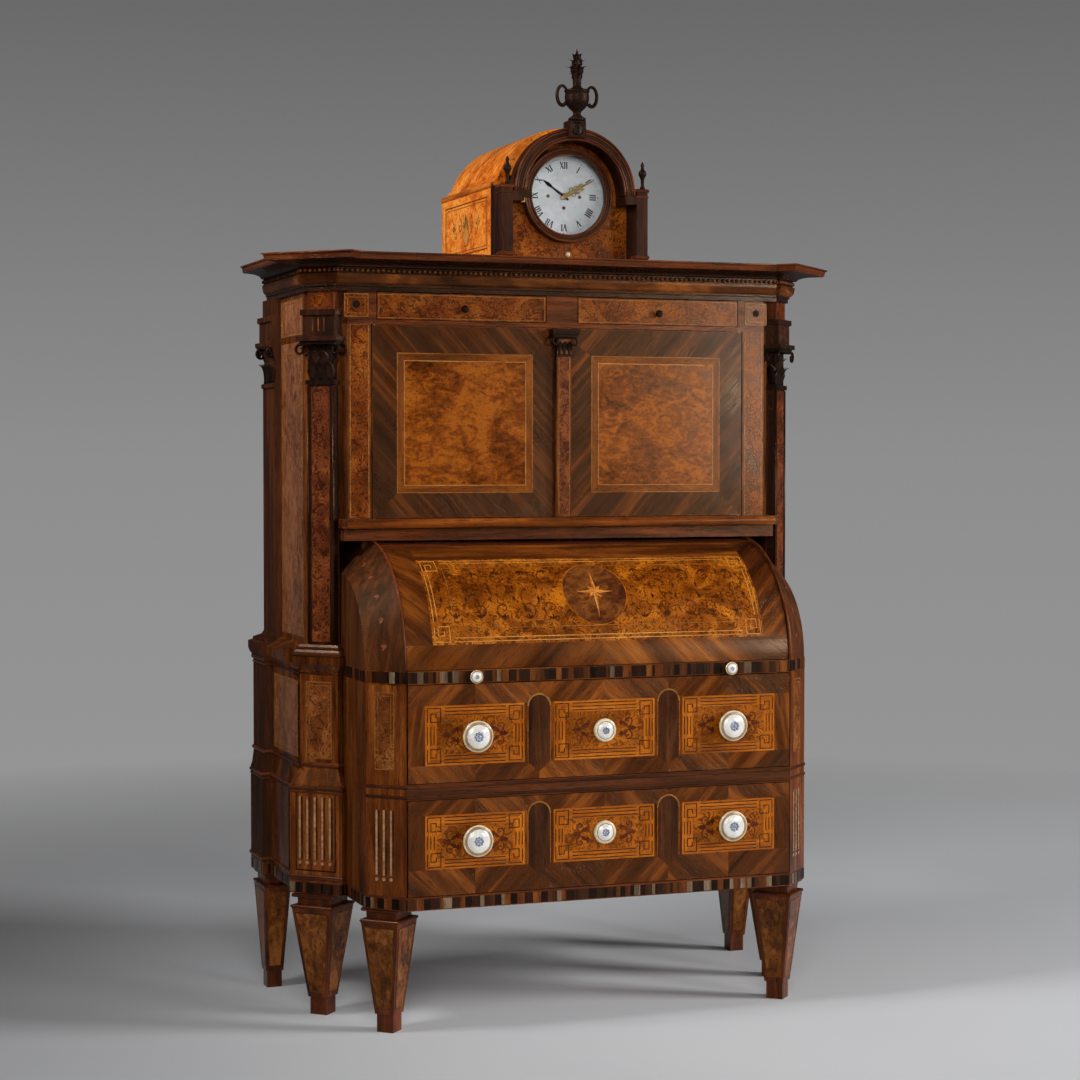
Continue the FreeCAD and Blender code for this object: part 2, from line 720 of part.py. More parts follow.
def make_wings():
    """Corner boards, side panels and stepped pedestals of the two wings."""
    for side in SIDES:
        corner = new_body(f"wing_corner_{side}")
        for outer, low, high in ((WING_HALF + S.base_swell, Z_LOWER, Z_SHAFT),
                                 (WING_HALF, Z_SHAFT, Z_ARCHITRAVE)):
            corners = [(SIDE_HALF, cut_line(SIDE_HALF)), (outer, cut_line(outer)), (outer, CORNER_BACK),
                       (WING_INNER, CORNER_BACK), (WING_INNER, cut_line(WING_INNER) + CUT_THICK),
                       (SIDE_HALF, cut_line(SIDE_HALF) + CUT_THICK)]
            pad(corner, "XY_Plane", sided(side, corners), low, high - low)
        panel = new_body(f"wing_side_{side}")
        low_x = WING_HALF + S.low_swell
        base_x = WING_HALF + S.base_swell
        cap_x = WING_HALF + S.cap_swell
        third = S.pedestal_cap / 3
        profile = [(WING_INNER, Z_LOWER), (low_x, Z_LOWER), (low_x, Z_STEP), (base_x, Z_HIGH),
                   (base_x, Z_CAP), (cap_x, Z_CAP + third), (cap_x, Z_CAP + third * 2),
                   (WING_HALF, Z_SHAFT), (WING_HALF, Z_ARCHITRAVE), (WING_INNER, Z_ARCHITRAVE)]
        pad(panel, "XZ_Plane", sided(side, profile), CORNER_BACK, REAR_FRONT - CORNER_BACK)
        node(group(f"wing_{side}", [corner, panel]))
        node(pedestal(side))


def pedestal(side):
    """Stepped pedestal on the wing's cut face, trimmed where it meets the desk side."""
    body = new_body(f"pedestal_{side}")

    def block(width, depth):
        half = width / 2
        return sided(side, [(-half, -depth), (half, -depth), (half, ZERO), (-DESK_LINE, ZERO),
                            (-half, DESK_LINE - half)])

    over = S.cap_overhang
    high = block(S.high_width, S.high_depth)
    cap = block(S.high_width + over * 2, S.high_depth + over)
    low = block(S.low_width, S.low_depth)
    pad(body, "XY_Plane", low, Z_LOWER, S.pedestal_low)
    loft(body, [(low, Z_STEP), (high, Z_HIGH)])
    pad(body, "XY_Plane", high, Z_HIGH, S.pedestal_high)
    third = S.pedestal_cap / 3
    loft(body, [(high, Z_CAP), (cap, Z_CAP + third)])
    pad(body, "XY_Plane", cap, Z_CAP + third, third)
    loft(body, [(cap, Z_CAP + third * 2), (high, Z_SHAFT)])
    return on_diagonal(body, side)


def shaft_block(label, width, depth, low, high):
    """Makes one upright block of a pilaster, its back on the cut face."""
    body = new_body(label)
    pad(body, "XY_Plane", rectangle(-width / 2, -depth, width / 2, ZERO), low, high - low)
    return body


def capital(label):
    """Capital that flares to an abacus, with a volute at each end."""
    body = new_body(label)
    width = S.shaft_width
    wide = width + S.capital_flare * 2
    deep = S.shaft_depth + S.capital_flare
    neck_z = Z_CAPITAL + S.capital_height * CAPITAL_NECK_SHARE
    abacus_z = Z_ENTABLATURE - S.capital_height * CAPITAL_ABACUS_SHARE

    def block(across, depth):
        return rectangle(-across / 2, -depth, across / 2, ZERO)

    pad(body, "XY_Plane", block(width, S.shaft_depth), Z_CAPITAL, neck_z - Z_CAPITAL)
    loft(body, [(block(width, S.shaft_depth), neck_z), (block(wide, deep), abacus_z)])
    pad(body, "XY_Plane", block(wide, deep), abacus_z, Z_ENTABLATURE - abacus_z)
    return body


def make_pilasters():
    """Diagonal pilasters: shaft, capital and entablature blocks over it."""
    block_z = Z_ENTABLATURE + S.architrave_block
    swell = S.architrave_swell
    for side in SIDES:
        pieces = [
            shaft_block(f"shaft_{side}", S.shaft_width, S.shaft_depth, Z_SHAFT, Z_CAPITAL),
            capital(f"capital_{side}"),
            shaft_block(f"architrave_block_{side}", S.shaft_width + swell * 2, S.shaft_depth + swell,
                        Z_ENTABLATURE, block_z),
            shaft_block(f"frieze_block_{side}", S.shaft_width, S.shaft_depth, block_z, Z_ARCHITRAVE),
        ]
        for piece in pieces:
            on_diagonal(piece, side)
        node(group(f"pilaster_{side}", pieces))
        node(rear_pilaster(side))


def rear_pilaster(side):
    """Rear pilaster with its pedestal and capital, standing proud of the side panel."""
    body = new_body(f"rear_pilaster_{side}")
    flare = S.capital_flare
    third = S.pedestal_cap / 3

    def block(swell):
        low, high = span(side, WING_INNER, WING_HALF + swell)
        return rectangle(low, REAR_FRONT, high, S.cabinet_back)

    abacus_z = Z_ENTABLATURE - S.capital_height * CAPITAL_ABACUS_SHARE
    cap = S.rear_base_swell + S.cap_overhang
    pad(body, "XY_Plane", block(S.rear_low_swell), Z_LOWER, S.pedestal_low)
    loft(body, [(block(S.rear_low_swell), Z_STEP), (block(S.rear_base_swell), Z_HIGH)])
    pad(body, "XY_Plane", block(S.rear_base_swell), Z_HIGH, S.pedestal_high)
    loft(body, [(block(S.rear_base_swell), Z_CAP), (block(cap), Z_CAP + third)])
    pad(body, "XY_Plane", block(cap), Z_CAP + third, third)
    loft(body, [(block(cap), Z_CAP + third * 2), (block(S.rear_swell), Z_SHAFT)])
    pad(body, "XY_Plane", block(S.rear_swell), Z_SHAFT, Z_CAPITAL - Z_SHAFT)
    loft(body, [(block(S.rear_swell), Z_CAPITAL), (block(S.rear_swell + flare), abacus_z)])
    pad(body, "XY_Plane", block(S.rear_swell + flare), abacus_z, Z_ENTABLATURE - abacus_z)
    pad(body, "XY_Plane", block(S.rear_swell), Z_ENTABLATURE, S.entablature_height)
    return body


def make_cabinet():
    """Stiles, shelf, ceiling, frieze blocks and back of the upper cabinet."""
    inner = cut_line(SIDE_HALF) + CUT_THICK
    stile_back = S.cabinet_front + S.door_thick
    blocks = []
    for side in SIDES:
        stile = new_body(f"front_stile_{side}")
        corners = [(STILE_X, S.cabinet_front), (CUT_X, S.cabinet_front), (SIDE_HALF, cut_line(SIDE_HALF)),
                   (SIDE_HALF, stile_back), (STILE_X, stile_back)]
        pad(stile, "XY_Plane", sided(side, corners), Z_CABINET, Z_CEILING - Z_CABINET)
        node(stile)
        block = new_body(f"frieze_end_{side}")
        corners[0] = (FRIEZE_END + S.reveal, S.cabinet_front)
        corners[-1] = (FRIEZE_END + S.reveal, stile_back)
        pad(block, "XY_Plane", sided(side, corners), Z_FRIEZE, S.frieze_height)
        blocks.append(block)
    die = S.frieze_die_half
    blocks.append(box("frieze_die", (-die, S.cabinet_front, Z_FRIEZE), (die, stile_back, Z_ARCHITRAVE)))
    node(group("frieze_blocks", blocks))
    ceiling = new_body("cabinet_ceiling")
    half = [(CUT_X, S.cabinet_front), (SIDE_HALF, cut_line(SIDE_HALF)), (SIDE_HALF, inner),
            (WING_INNER, cut_line(WING_INNER) + CUT_THICK), (WING_INNER, BACK_FACE)]
    pad(ceiling, "XY_Plane", both_halves(half), Z_CEILING, S.frieze_floor)
    node(ceiling)
    low = Z_CABINET + S.cabinet_shelf_rise
    node(box("cabinet_shelf", (-WING_INNER, CORNER_BACK, low), (WING_INNER, BACK_FACE, low + S.board)))
    node(box("back_panel", (-WING_INNER, BACK_FACE, Z_LOWER), (WING_INNER, S.cabinet_back, Z_ARCHITRAVE)))


def make_doors():
    """Two doors on pivot pins; the right one carries a false pilaster over the meeting edge."""
    y = S.cabinet_front
    low = Z_CABINET + S.door_end_gap
    high = Z_CEILING - S.door_end_gap
    pin_x = DOOR_EDGE - S.pin_inset
    pin_y = y + S.pin_inset
    meeting = -S.strip_width / 2
    ends = {"left": (-DOOR_EDGE, meeting - S.meeting_gap), "right": (meeting, DOOR_EDGE)}
    for side, sign in SIDES.items():
        left, right = ends[side]
        panel = box(f"door_panel_{side}", (left, y, low), (right, y + S.door_thick, high))
        bores = []
        for end, z, pin_z in (("low", low, Z_CABINET),
                              ("high", high - S.pin_length, Z_CEILING - S.pin_length)):
            bores.append(rod(f"door_bore_{side}_{end}", S.pin_radius + S.pin_play, S.pin_length,
                             pin_x * sign, pin_y, z))
            pivots.append(rod(f"door_pin_{side}_{end}", S.pin_radius, S.pin_length, pin_x * sign, pin_y,
                              pin_z))
        node(cut(f"door_{side}", panel, bores))
    node(box("door_strip", (meeting, y - S.strip_depth, low), (meeting + S.strip_width, y, high)))


def make_frieze_drawers():
    """Two shallow drawers under the cornice, each with a small knob."""
    die = S.frieze_die_half + S.reveal
    edges = {"left": (-FRIEZE_END, -die), "right": (die, FRIEZE_END)}
    front = S.cabinet_front
    back = front + S.frieze_depth
    for side, sign in SIDES.items():
        left, right = edges[side]
        name = f"frieze_drawer_{side}"
        face = box(f"{name}_face", (left, front, Z_FRIEZE + S.reveal),
                   (right, front + S.front_thick, Z_ARCHITRAVE - S.reveal))
        tray = drawer_box(f"{name}_box", left + S.drawer_side_gap, right - S.drawer_side_gap,
                          front + S.front_thick, back, Z_FRIEZE + S.seat_gap,
                          S.frieze_height - S.frieze_side_drop)
        node(group(name, [face, tray]))
        node(turned(f"frieze_knob_{side}", BUTTON_SHARES, S.frieze_knob_radius, S.frieze_knob_reach,
                    (S.front_half - S.frieze_knob_inset) * sign, front, Z_FRIEZE + S.frieze_knob_rise, True))


def cornice_half(share):
    """Returns the right half of the cornice outline at a share of its full reach."""
    front = S.cabinet_front - S.cornice_front * share
    half = S.shaft_width / 2 + S.cornice_corner * share
    out = S.shaft_depth + S.cornice_corner * share
    side = WING_HALF + S.cornice_side * share
    x = DIAGONAL_X - S.cornice_inset * share / ROOT_TWO
    y = DIAGONAL_Y - S.cornice_inset * share / ROOT_TWO
    return [
        (x - half * ROOT_TWO + y - front, front),
        (x + (out - half) / ROOT_TWO, y - (out + half) / ROOT_TWO),
        (x + (out + half) / ROOT_TWO, y + (half - out) / ROOT_TWO),
        (side, y + half * ROOT_TWO - side + x),
        (side, S.cabinet_back),
    ]


def make_cornice():
    """Moulded cornice that breaks forward over the diagonal pilasters, hollow underneath."""
    body = new_body("cornice")
    height = S.architrave_height + S.cornice_height
    loft(body, [(both_halves(cornice_half(reach)), Z_ARCHITRAVE + height * rise)
                for rise, reach in zip(CORNICE_HEIGHT_SHARES, CORNICE_REACH_SHARES)])
    doc.recompute()
    edge = WING_INNER - S.board
    pocket(body, rectangle(-edge, CORNER_BACK, edge, BACK_FACE), Z_ARCHITRAVE, S.cornice_hollow)
    node(body)


def make_clock_case():
    """Case boards, front panel, barrel roof and arched hood of the clock."""
    wall = S.clock_wall
    top = DIAL_Z + S.wall_rise
    boards = [box("clock_floor", (-CLOCK_HALF + wall, PANEL_BACK, Z_TOP),
                  (CLOCK_HALF - wall, CLOCK_BACK - wall, Z_TOP + S.clock_floor)),
              box("clock_rear", (-CLOCK_HALF, CLOCK_BACK - wall, Z_TOP), (CLOCK_HALF, CLOCK_BACK, top))]
    for side in SIDES:
        low, high = span(side, CLOCK_HALF - wall, CLOCK_HALF)
        boards.append(box(f"clock_side_{side}", (low, PANEL_BACK, Z_TOP), (high, CLOCK_BACK - wall, top)))
    node(group("clock_case", boards))
    node(clock_roof(top))
    node(clock_panel(top))
    node(group("clock_hood", hood_pieces()))


def clock_roof(top):
    """Barrel roof with a gable at each end, on a sloping ledge round the top of the case."""
    low = top + S.roof_ledge
    centre = top - S.roof_drop
    depth = CLOCK_BACK - S.roof_inset
    radius = ROOF_RADIUS
    reach = radius + S.overrun
    blank = rod("roof_blank", radius, depth - PANEL_BACK, ZERO, depth, centre, "-y")
    inside = rod("roof_inside", radius - S.roof_thick, depth - PANEL_BACK - S.gable_thick - S.roof_thick,
                 ZERO, depth - S.roof_thick, centre, "-y")
    below = box("roof_below", (-reach, PANEL_BACK - S.overrun, centre - reach),
                (reach, depth + S.overrun, low))
    window = rod("roof_window", DIAL_RADIUS + S.window_gap, S.gable_thick + S.overrun * 2, ZERO,
                 PANEL_BACK + S.gable_thick + S.overrun, DIAL_Z, "-y")
    vault = cut("roof_vault", blank, [inside, below, window])
    ledge = new_body("roof_ledge")
    half = CLOCK_HALF
    narrow = half - S.roof_shoulder
    loft(ledge, [(rectangle(-half, PANEL_BACK, half, CLOCK_BACK), top),
                 (rectangle(-narrow, PANEL_BACK, narrow, depth), low)])
    doc.recompute()
    hole = narrow - S.roof_thick - S.overrun
    pocket(ledge, rectangle(-hole, PANEL_BACK - S.overrun, hole, depth - S.roof_thick), top, S.roof_ledge)
    return group("clock_roof", [vault, ledge])


def clock_panel(top):
    """Front panel with an arched head and a round hole for the dial."""
    half = HOOD_HALF - S.hood_pilaster
    plate = box("panel_plate", (-half, PANEL_FRONT, Z_TOP), (half, PANEL_BACK, top))
    head = rod("panel_head", ARCH_OUTER - S.arch_step, S.panel_thick, ZERO, PANEL_BACK, DIAL_Z, "-y",
               HALF_TURN)
    hole = rod("panel_hole", PANEL_HOLE, S.panel_thick + S.overrun * 2, ZERO, PANEL_BACK + S.overrun,
               DIAL_Z, "-y")
    return cut("clock_panel", joined("panel_blank", [plate, head]), [hole])


def hood_pieces():
    """Pilasters, the imposts between them and the arch, the arch and its keystone."""
    pieces = []
    inner = HOOD_HALF - S.hood_pilaster
    for side in SIDES:
        low, high = span(side, inner, HOOD_HALF)
        pieces.append(box(f"hood_shaft_{side}", (low, HOOD_FRONT, Z_TOP),
                          (high, PANEL_BACK, DIAL_Z + S.hood_rise)))
        low, high = span(side, ARCH_INNER + S.arch_rebate, inner)
        pieces.append(box(f"impost_{side}", (low, HOOD_FRONT, DIAL_Z - S.impost_height),
                          (high, PANEL_FRONT, DIAL_Z)))
    return pieces + hood_arch()


def hood_arch():
    """The stepped arch over the dial, and the keystone that carries the urn."""
    arch = new_body("hood_arch")
    step_y = HOOD_FRONT + S.arch_depth
    wide = ARCH_INNER + S.arch_rebate
    narrow = ARCH_OUTER - S.arch_step
    section = [(ARCH_INNER, HOOD_FRONT), (ARCH_OUTER, HOOD_FRONT), (ARCH_OUTER, step_y),
               (narrow, step_y), (narrow, PANEL_FRONT), (wide, PANEL_FRONT), (wide, step_y),
               (ARCH_INNER, step_y)]
    revolve(arch, "XY_Plane", section, "V_Axis", HALF_TURN, True)
    place(arch, ZERO, ZERO, DIAL_Z)
    crown = DIAL_Z + ARCH_OUTER
    front = HOOD_FRONT - S.keystone_reach
    half = S.keystone_half
    keystone = box("hood_keystone", (-half, front, crown - S.keystone_drop),
                   (half, HOOD_FRONT, crown + S.keystone_rise))
    saddle = box("hood_saddle", (-half, HOOD_FRONT, crown), (half, front + half * 2, crown + S.keystone_rise))
    return [arch, keystone, saddle]


def make_finials():
    """Urn on the keystone and a finial on each hood pilaster."""
    crown = DIAL_Z + ARCH_OUTER + S.keystone_rise
    urn_y = HOOD_FRONT + S.keystone_half - S.keystone_reach
    urn = turned("urn", URN_SHARES, S.urn_radius, S.urn_height, ZERO, urn_y, crown)
    pieces = [urn]
    for side, sign in SIDES.items():
        x = HOOD_HALF - S.hood_pilaster / 2
        pieces.append(turned(f"finial_{side}", FINIAL_SHARES, S.finial_radius, S.finial_height, x * sign,
                             HOOD_FRONT + S.hood_pilaster / 2, DIAL_Z + S.hood_rise))
    node(group("clock_finials", pieces))


def make_dial_and_bezel():
    """Dial behind the panel, and the bezel with its glass on a side hinge."""
    disc = rod("dial_disc", DIAL_RADIUS, S.dial_thick, ZERO, DIAL_BACK, DIAL_Z, "-y")
    bore = rod("dial_bore", S.dial_bore, S.dial_thick + S.overrun * 2, ZERO, DIAL_BACK + S.overrun, DIAL_Z,
               "-y")
    node(cut("dial", disc, [bore]))
    back = PANEL_FRONT - S.seat_gap
    front = back - S.bezel_depth
    rebate = front + S.bezel_lip
    ring = new_body("bezel_ring")
    section = [(S.bezel_inner, front), (BEZEL_OUTER, front), (BEZEL_OUTER, back), (BEZEL_REBATE, back),
               (BEZEL_REBATE, rebate), (S.bezel_inner, rebate)]
    revolve(ring, "XY_Plane", section, "V_Axis", FULL_TURN)
    place(ring, ZERO, ZERO, DIAL_Z)
    pin_x = -BEZEL_OUTER - S.hinge_offset
    wall = S.hinge_pin + S.lug_wall
    pin_y = front - S.hinge_pin
    lug = box("bezel_lug", (pin_x - wall, pin_y - wall, DIAL_Z - S.lug_half),
              (-S.bezel_inner - S.lug_wall, pin_y + wall, DIAL_Z + S.lug_half))
    bore = rod("bezel_bore", S.hinge_pin + S.pin_play, S.lug_half * 2 + S.overrun * 2, pin_x, pin_y,
               DIAL_Z - S.lug_half - S.overrun)
    node(cut("bezel", joined("bezel_blank", [ring, lug]), [bore]))
    node(rod("bezel_glass", BEZEL_REBATE - S.seat_gap, S.glass_thick, ZERO, rebate + S.glass_thick, DIAL_Z,
             "-y"))
    near = S.lug_half + S.ear_gap
    ears = [box(f"hinge_ear_{name}", (pin_x - wall, pin_y - wall, z),
                (pin_x + wall, PANEL_FRONT, z + S.ear_height))
            for name, z in (("low", DIAL_Z - near - S.ear_height), ("high", DIAL_Z + near))]
    pivots.extend(ears)
    pivots.append(rod("hinge_pin", S.hinge_pin, near * 2, pin_x, pin_y, DIAL_Z - near))


def make_movement():
    """Plates, pillars, barrels, seat board, dial feet and the arbors for the hands."""
    base = Z_TOP + S.clock_floor
    plate_z = DIAL_Z - S.plate_drop
    half = S.plate_half
    rear_back = REAR_PLATE_Y + S.plate_thick
    plate_top = DIAL_Z + S.plate_rise
    pieces = [box("seat_board", (-S.seat_half, PLATE_Y, base), (S.seat_half, rear_back, plate_z)),
              box("front_plate", (-half, PLATE_Y, plate_z), (half, PLATE_Y + S.plate_thick, plate_top)),
              box("rear_plate", (-half, REAR_PLATE_Y, plate_z), (half, rear_back, plate_top))]
    inset = half - S.pillar_inset
    for side, sign in SIDES.items():
        for name, z in (("low", plate_z + S.pillar_inset), ("high", plate_top - S.pillar_inset)):
            pieces.append(rod(f"pillar_{side}_{name}", S.pillar_radius, S.plate_space, inset * sign,
                              REAR_PLATE_Y, z, "-y"))
        pieces.append(rod(f"barrel_{side}", S.barrel_radius, S.plate_space, S.barrel_x * sign, REAR_PLATE_Y,
                          DIAL_Z - S.barrel_drop, "-y"))
        pieces.append(rod(f"dial_foot_{side}", S.pillar_radius, S.dial_stand_off, inset * sign, PLATE_Y,
                          DIAL_Z, "-y"))
    pieces += [arbors(), pendulum_pin(rear_back)]
    node(group("clock_movement", pieces))


def hand_depths():
    """Returns the depths of the backs of the hour hand and the minute hand."""
    hour_back = PANEL_BACK - S.hand_gap
    minute_back = hour_back - S.hand_thick - S.hand_gap
    return hour_back, minute_back


def arbors():
    """Stepped arbor through the dial: a pipe for the hour hand and a thin end for the minute hand."""
    hour_back, minute_back = hand_depths()
    step = hour_back - S.hand_thick - S.hand_gap / 2
    front = minute_back - S.hand_thick - S.hand_gap / 2
    pipe = rod("hour_pipe", S.hour_pipe, PLATE_Y - step, ZERO, PLATE_Y, DIAL_Z, "-y")
    arbor = rod("minute_arbor", S.minute_arbor, PLATE_Y - front, ZERO, PLATE_Y, DIAL_Z, "-y")
    return joined("hand_arbors", [pipe, arbor])


def pendulum_place():
    """Returns the depth of the pendulum's front and the height of its pivot."""
    front = REAR_PLATE_Y + S.plate_thick + S.pendulum_reach
    height = DIAL_Z + S.plate_rise - S.pendulum_drop
    return front, height


def pendulum_pin(plate_back):
    """Pin on the rear plate that the pendulum hangs from."""
    front, height = pendulum_place()
    end = front + S.pendulum_thick + S.hand_gap
    return rod("pendulum_pin", S.pendulum_pin, end - plate_back, ZERO, end, height, "-y")


def make_pendulum():
    """Pendulum: hub, flat rod and round bob."""
    front, height = pendulum_place()
    back = front + S.pendulum_thick
    inset = S.pendulum_thick / 3
    bob_z = Z_TOP + S.clock_floor + S.bob_gap + S.bob_radius
    hub = rod("pendulum_hub", S.pendulum_hub, S.pendulum_thick, ZERO, back, height, "-y")
    bar = box("pendulum_rod", (-S.rod_width / 2, front + inset, bob_z),
              (S.rod_width / 2, back - inset, height))
    bob = rod("pendulum_bob", S.bob_radius, S.pendulum_thick, ZERO, back, bob_z, "-y")
    bore = rod("pendulum_bore", S.pendulum_pin + S.pin_play, S.pendulum_thick + S.overrun * 2, ZERO,
               back + S.overrun, height, "-y")
    node(cut("pendulum", joined("pendulum_blank", [hub, bar, bob]), [bore]))


def hand(label, length, width, bore, back, angle):
    """Makes one hand: a tapering blade with a tail and a boss, turned to its place at rest."""
    blade = new_body(f"{label}_blade")
    half = width / 2
    points = [(-half, -S.hand_tail), (half, -S.hand_tail), (width, ZERO), (half / 3, length),
              (-half / 3, length), (-width, ZERO)]
    pad(blade, "XZ_Plane", points, -S.hand_thick, S.hand_thick)
    place(blade, ZERO, back, DIAL_Z, turned_about("y", angle))
    boss = rod(f"{label}_boss", width, S.hand_thick, ZERO, back, DIAL_Z, "-y")
    hole = rod(f"{label}_bore", bore + S.pin_play, S.hand_thick + S.overrun * 2, ZERO, back + S.overrun,
               DIAL_Z, "-y")
    node(cut(label, joined(f"{label}_blank", [blade, boss]), [hole]))


def make_hands():
    """Hour and minute hand at ten past ten."""
    hour_back, minute_back = hand_depths()
    hand("hour_hand", S.bezel_inner - S.hour_hand_gap, S.hour_hand_width, S.hour_pipe, hour_back,
         HOUR_HAND_ANGLE)
    hand("minute_hand", S.bezel_inner - S.minute_hand_gap, S.minute_hand_width, S.minute_arbor, minute_back,
         MINUTE_HAND_ANGLE)


def check_document():
    """Stops if any object failed or any node's shape is missing or invalid."""
    failed = [item.Name for item in doc.Objects if "Invalid" in item.State or "Error" in item.State]
    if failed:
        raise RuntimeError(f"failed objects: {failed}")
    for item in nodes:
        if item.Shape.isNull() or not item.Shape.isValid() or not item.Shape.Solids:
            raise RuntimeError(f"bad shape: {item.Label}")


def write_parts():
    """Writes every node to its own file."""
    os.makedirs("parts", exist_ok=True)
    for item in nodes:
        item.Shape.exportStep(f"parts/{item.Label}.step")
    print(len(nodes), "nodes written")


make_legs()
make_base()
long_drawer("upper_drawer", Z_UPPER, S.upper_height, S.upper_knob_rise)
long_drawer("lower_drawer", Z_LOWER, S.lower_height, S.lower_knob_rise)
make_slide()
make_cylinder()
make_cheeks()
make_nest()
make_shelf()
make_wings()
make_pilasters()
make_cabinet()
make_doors()
make_frieze_drawers()
make_cornice()
make_clock_case()
make_finials()
make_dial_and_bezel()
make_movement()
make_pendulum()
make_hands()
node(group("pivot_pins", pivots))
doc.recompute()
check_document()
write_parts()
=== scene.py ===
"""Looks of the cylinder desk: veneers, inlay, carving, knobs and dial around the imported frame."""

import json
import math
import random
from types import SimpleNamespace

import bmesh
import bpy
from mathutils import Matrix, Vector


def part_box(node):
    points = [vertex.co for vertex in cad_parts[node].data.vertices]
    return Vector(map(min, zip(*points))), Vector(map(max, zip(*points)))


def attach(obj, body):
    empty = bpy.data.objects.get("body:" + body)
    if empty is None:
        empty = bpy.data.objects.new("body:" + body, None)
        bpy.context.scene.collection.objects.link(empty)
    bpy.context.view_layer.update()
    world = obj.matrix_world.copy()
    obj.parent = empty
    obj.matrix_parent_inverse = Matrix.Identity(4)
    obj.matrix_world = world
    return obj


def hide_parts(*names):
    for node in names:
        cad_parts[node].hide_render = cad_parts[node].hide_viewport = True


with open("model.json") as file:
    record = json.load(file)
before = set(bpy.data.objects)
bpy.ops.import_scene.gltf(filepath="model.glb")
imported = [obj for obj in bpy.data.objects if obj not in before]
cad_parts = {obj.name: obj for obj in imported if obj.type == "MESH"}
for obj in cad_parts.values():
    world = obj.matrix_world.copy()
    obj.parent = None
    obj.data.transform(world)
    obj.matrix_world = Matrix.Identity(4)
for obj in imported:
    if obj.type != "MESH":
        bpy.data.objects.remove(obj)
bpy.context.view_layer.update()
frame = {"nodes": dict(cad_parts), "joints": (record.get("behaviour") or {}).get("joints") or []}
CHANCE = random.Random(11)
SIDES = {"left": -1, "right": 1}
BOTH = (-1, 1)
ROOT_TWO = math.sqrt(2)
RIGHT_ANGLE = math.pi / 2
UP = (0, 0, 1)
FORWARD = (0, -1, 0)
TINY = 1e-9
LEAST = 1e-5  # radius of a turned tip, and half the width of a sliced tip

# camera, from the photograph's own perspective
CAMERA_PLACE = (-1.852, -4.9335, 1.193)
CAMERA_TURN = 20.24
CAMERA_TILT = -1.91
PHOTO_PIXELS = 1080
FOCAL_PIXELS = 2359
SENSOR = 36.0

# floor, background and light
FLOOR_REACH = 4.6
FLOOR_CORNERS = 96
FLOOR_FADE = (1.6, 4.4)  # from where to where the floor fades out
BACKDROP = [(0.0, 0.3), (0.28, 0.3), (0.5, 0.27), (0.83, 0.135)]  # share of the way up, and grey
BACKDROP_REACH = 0.3  # how far below and over the horizon it changes
BACKDROP_BLUE = 1.01
AMBIENT_SHARE = 0.2  # how much of the background's brightness also falls on the object
# each lamp's name, place, aim, width, power and spread in degrees
LAMPS = [("key", (6.2, -3.6, 3.0), (0, 0, 0.8), 1.9, 400.0, 180),
         ("front", (3.1, -4.9, 1.6), (0, 0, 1.0), 1.0, 66.0, 180),
         ("fill", (-1.8, -5.4, 2.6), (0, 0, 0.7), 2.4, 140.0, 180),
         ("left", (-2.6, -0.4, 3.2), (0, 0.1, 1.7), 0.9, 15.0, 70)]

# shader recipes
WHITE = (1, 1, 1, 1)
CLOUD = (0.3, 0.7)  # where most values of a noise lie
SHELLAC = {"Specular_IOR_Level": 0.24, "Specular_Tint": (1.0, 0.62, 0.32, 1.0)}  # amber polish
DULL = {"Specular_IOR_Level": 0.1, "Specular_Tint": (1.0, 0.62, 0.4, 1.0)}  # hardly polished
THIN_COAT = 0.05
COAT_ROUGH = 0.14
WOOD_STOPS = (0.34, 0.5, 0.66)
BURL_STOPS = (0.32, 0.42, 0.5, 0.6)
GROUND_STOPS = (0.32, 0.5, 0.68)
BAND_SHARES = (0.4, 0.22)  # scale of the broad bands along and across the grain, beside the fine figure
PORE_TIMES = (8, 11)  # the same for the pores
PORE_EDGE = (0.36, 0.46)
PORE_SHADE = (0.45, 0.4, 0.38, 1)
FLECK_EDGE = (0.32, 0.42)
FLECK_SHADE = (0.3, 0.22, 0.18, 1)
LINE_TURNS = 7.0
LINE_EDGE = (0.1, 0.2)
LEAF_EDGE = (0.56, 0.6)
LINE_SHARE = 0.8
GLASS_TINT = (0.96, 0.98, 0.97, 1)
FLOOR_TONES = ((0.72, 0.73, 0.75, 1), (0.76, 0.77, 0.79, 1))

# inlay: heights over a face and widths of lines
SUNK = -0.0004  # how far a veneer's underside lies in the wood that carries it
VENEER = 0.0003
THIN_VENEER = VENEER * 0.7
INLAY = 0.0005
STRING_TOP = 0.0007
HAIR = 0.0012
FINE = 0.0014
SLIM = 0.0016
LIGHT = 0.0018
STRING = 0.0022
BOLD = 0.0026
BROAD = 0.003
MITRE_LEAST = 0.35  # keeps the mitre of a sharp bend short
ROLL_STEP = 0.008  # longest straight facet round the cylinder
LOG = 9  # how far apart two sheets of veneer may lie in the log
EDGE_GAP = 0.001  # between a veneer and the edge of what carries it
# slanting grains, in degrees
SLANT = 45
STEEP = 80
FRAME_GRAINS = [0, 90, 0, 90]

# ornament that repeats
KEY_STEPS = [(0, 0), (4, 0), (4, 4), (1, 4), (1, 1.6), (2.6, 1.6), (2.6, 2.8)]  # a meander, in pitches
KEY_SIDE = [(0, 0.2), (0, 4)]
KEY_REACH = 5.2  # pitches from a corner to where the frame's own lines begin
KEY_PITCH = 0.0072
KEY_LINE = STRING * 0.8
CURL_STEPS = 22
CURL_TURN = 0.36
CURL_CLOSE = 0.105
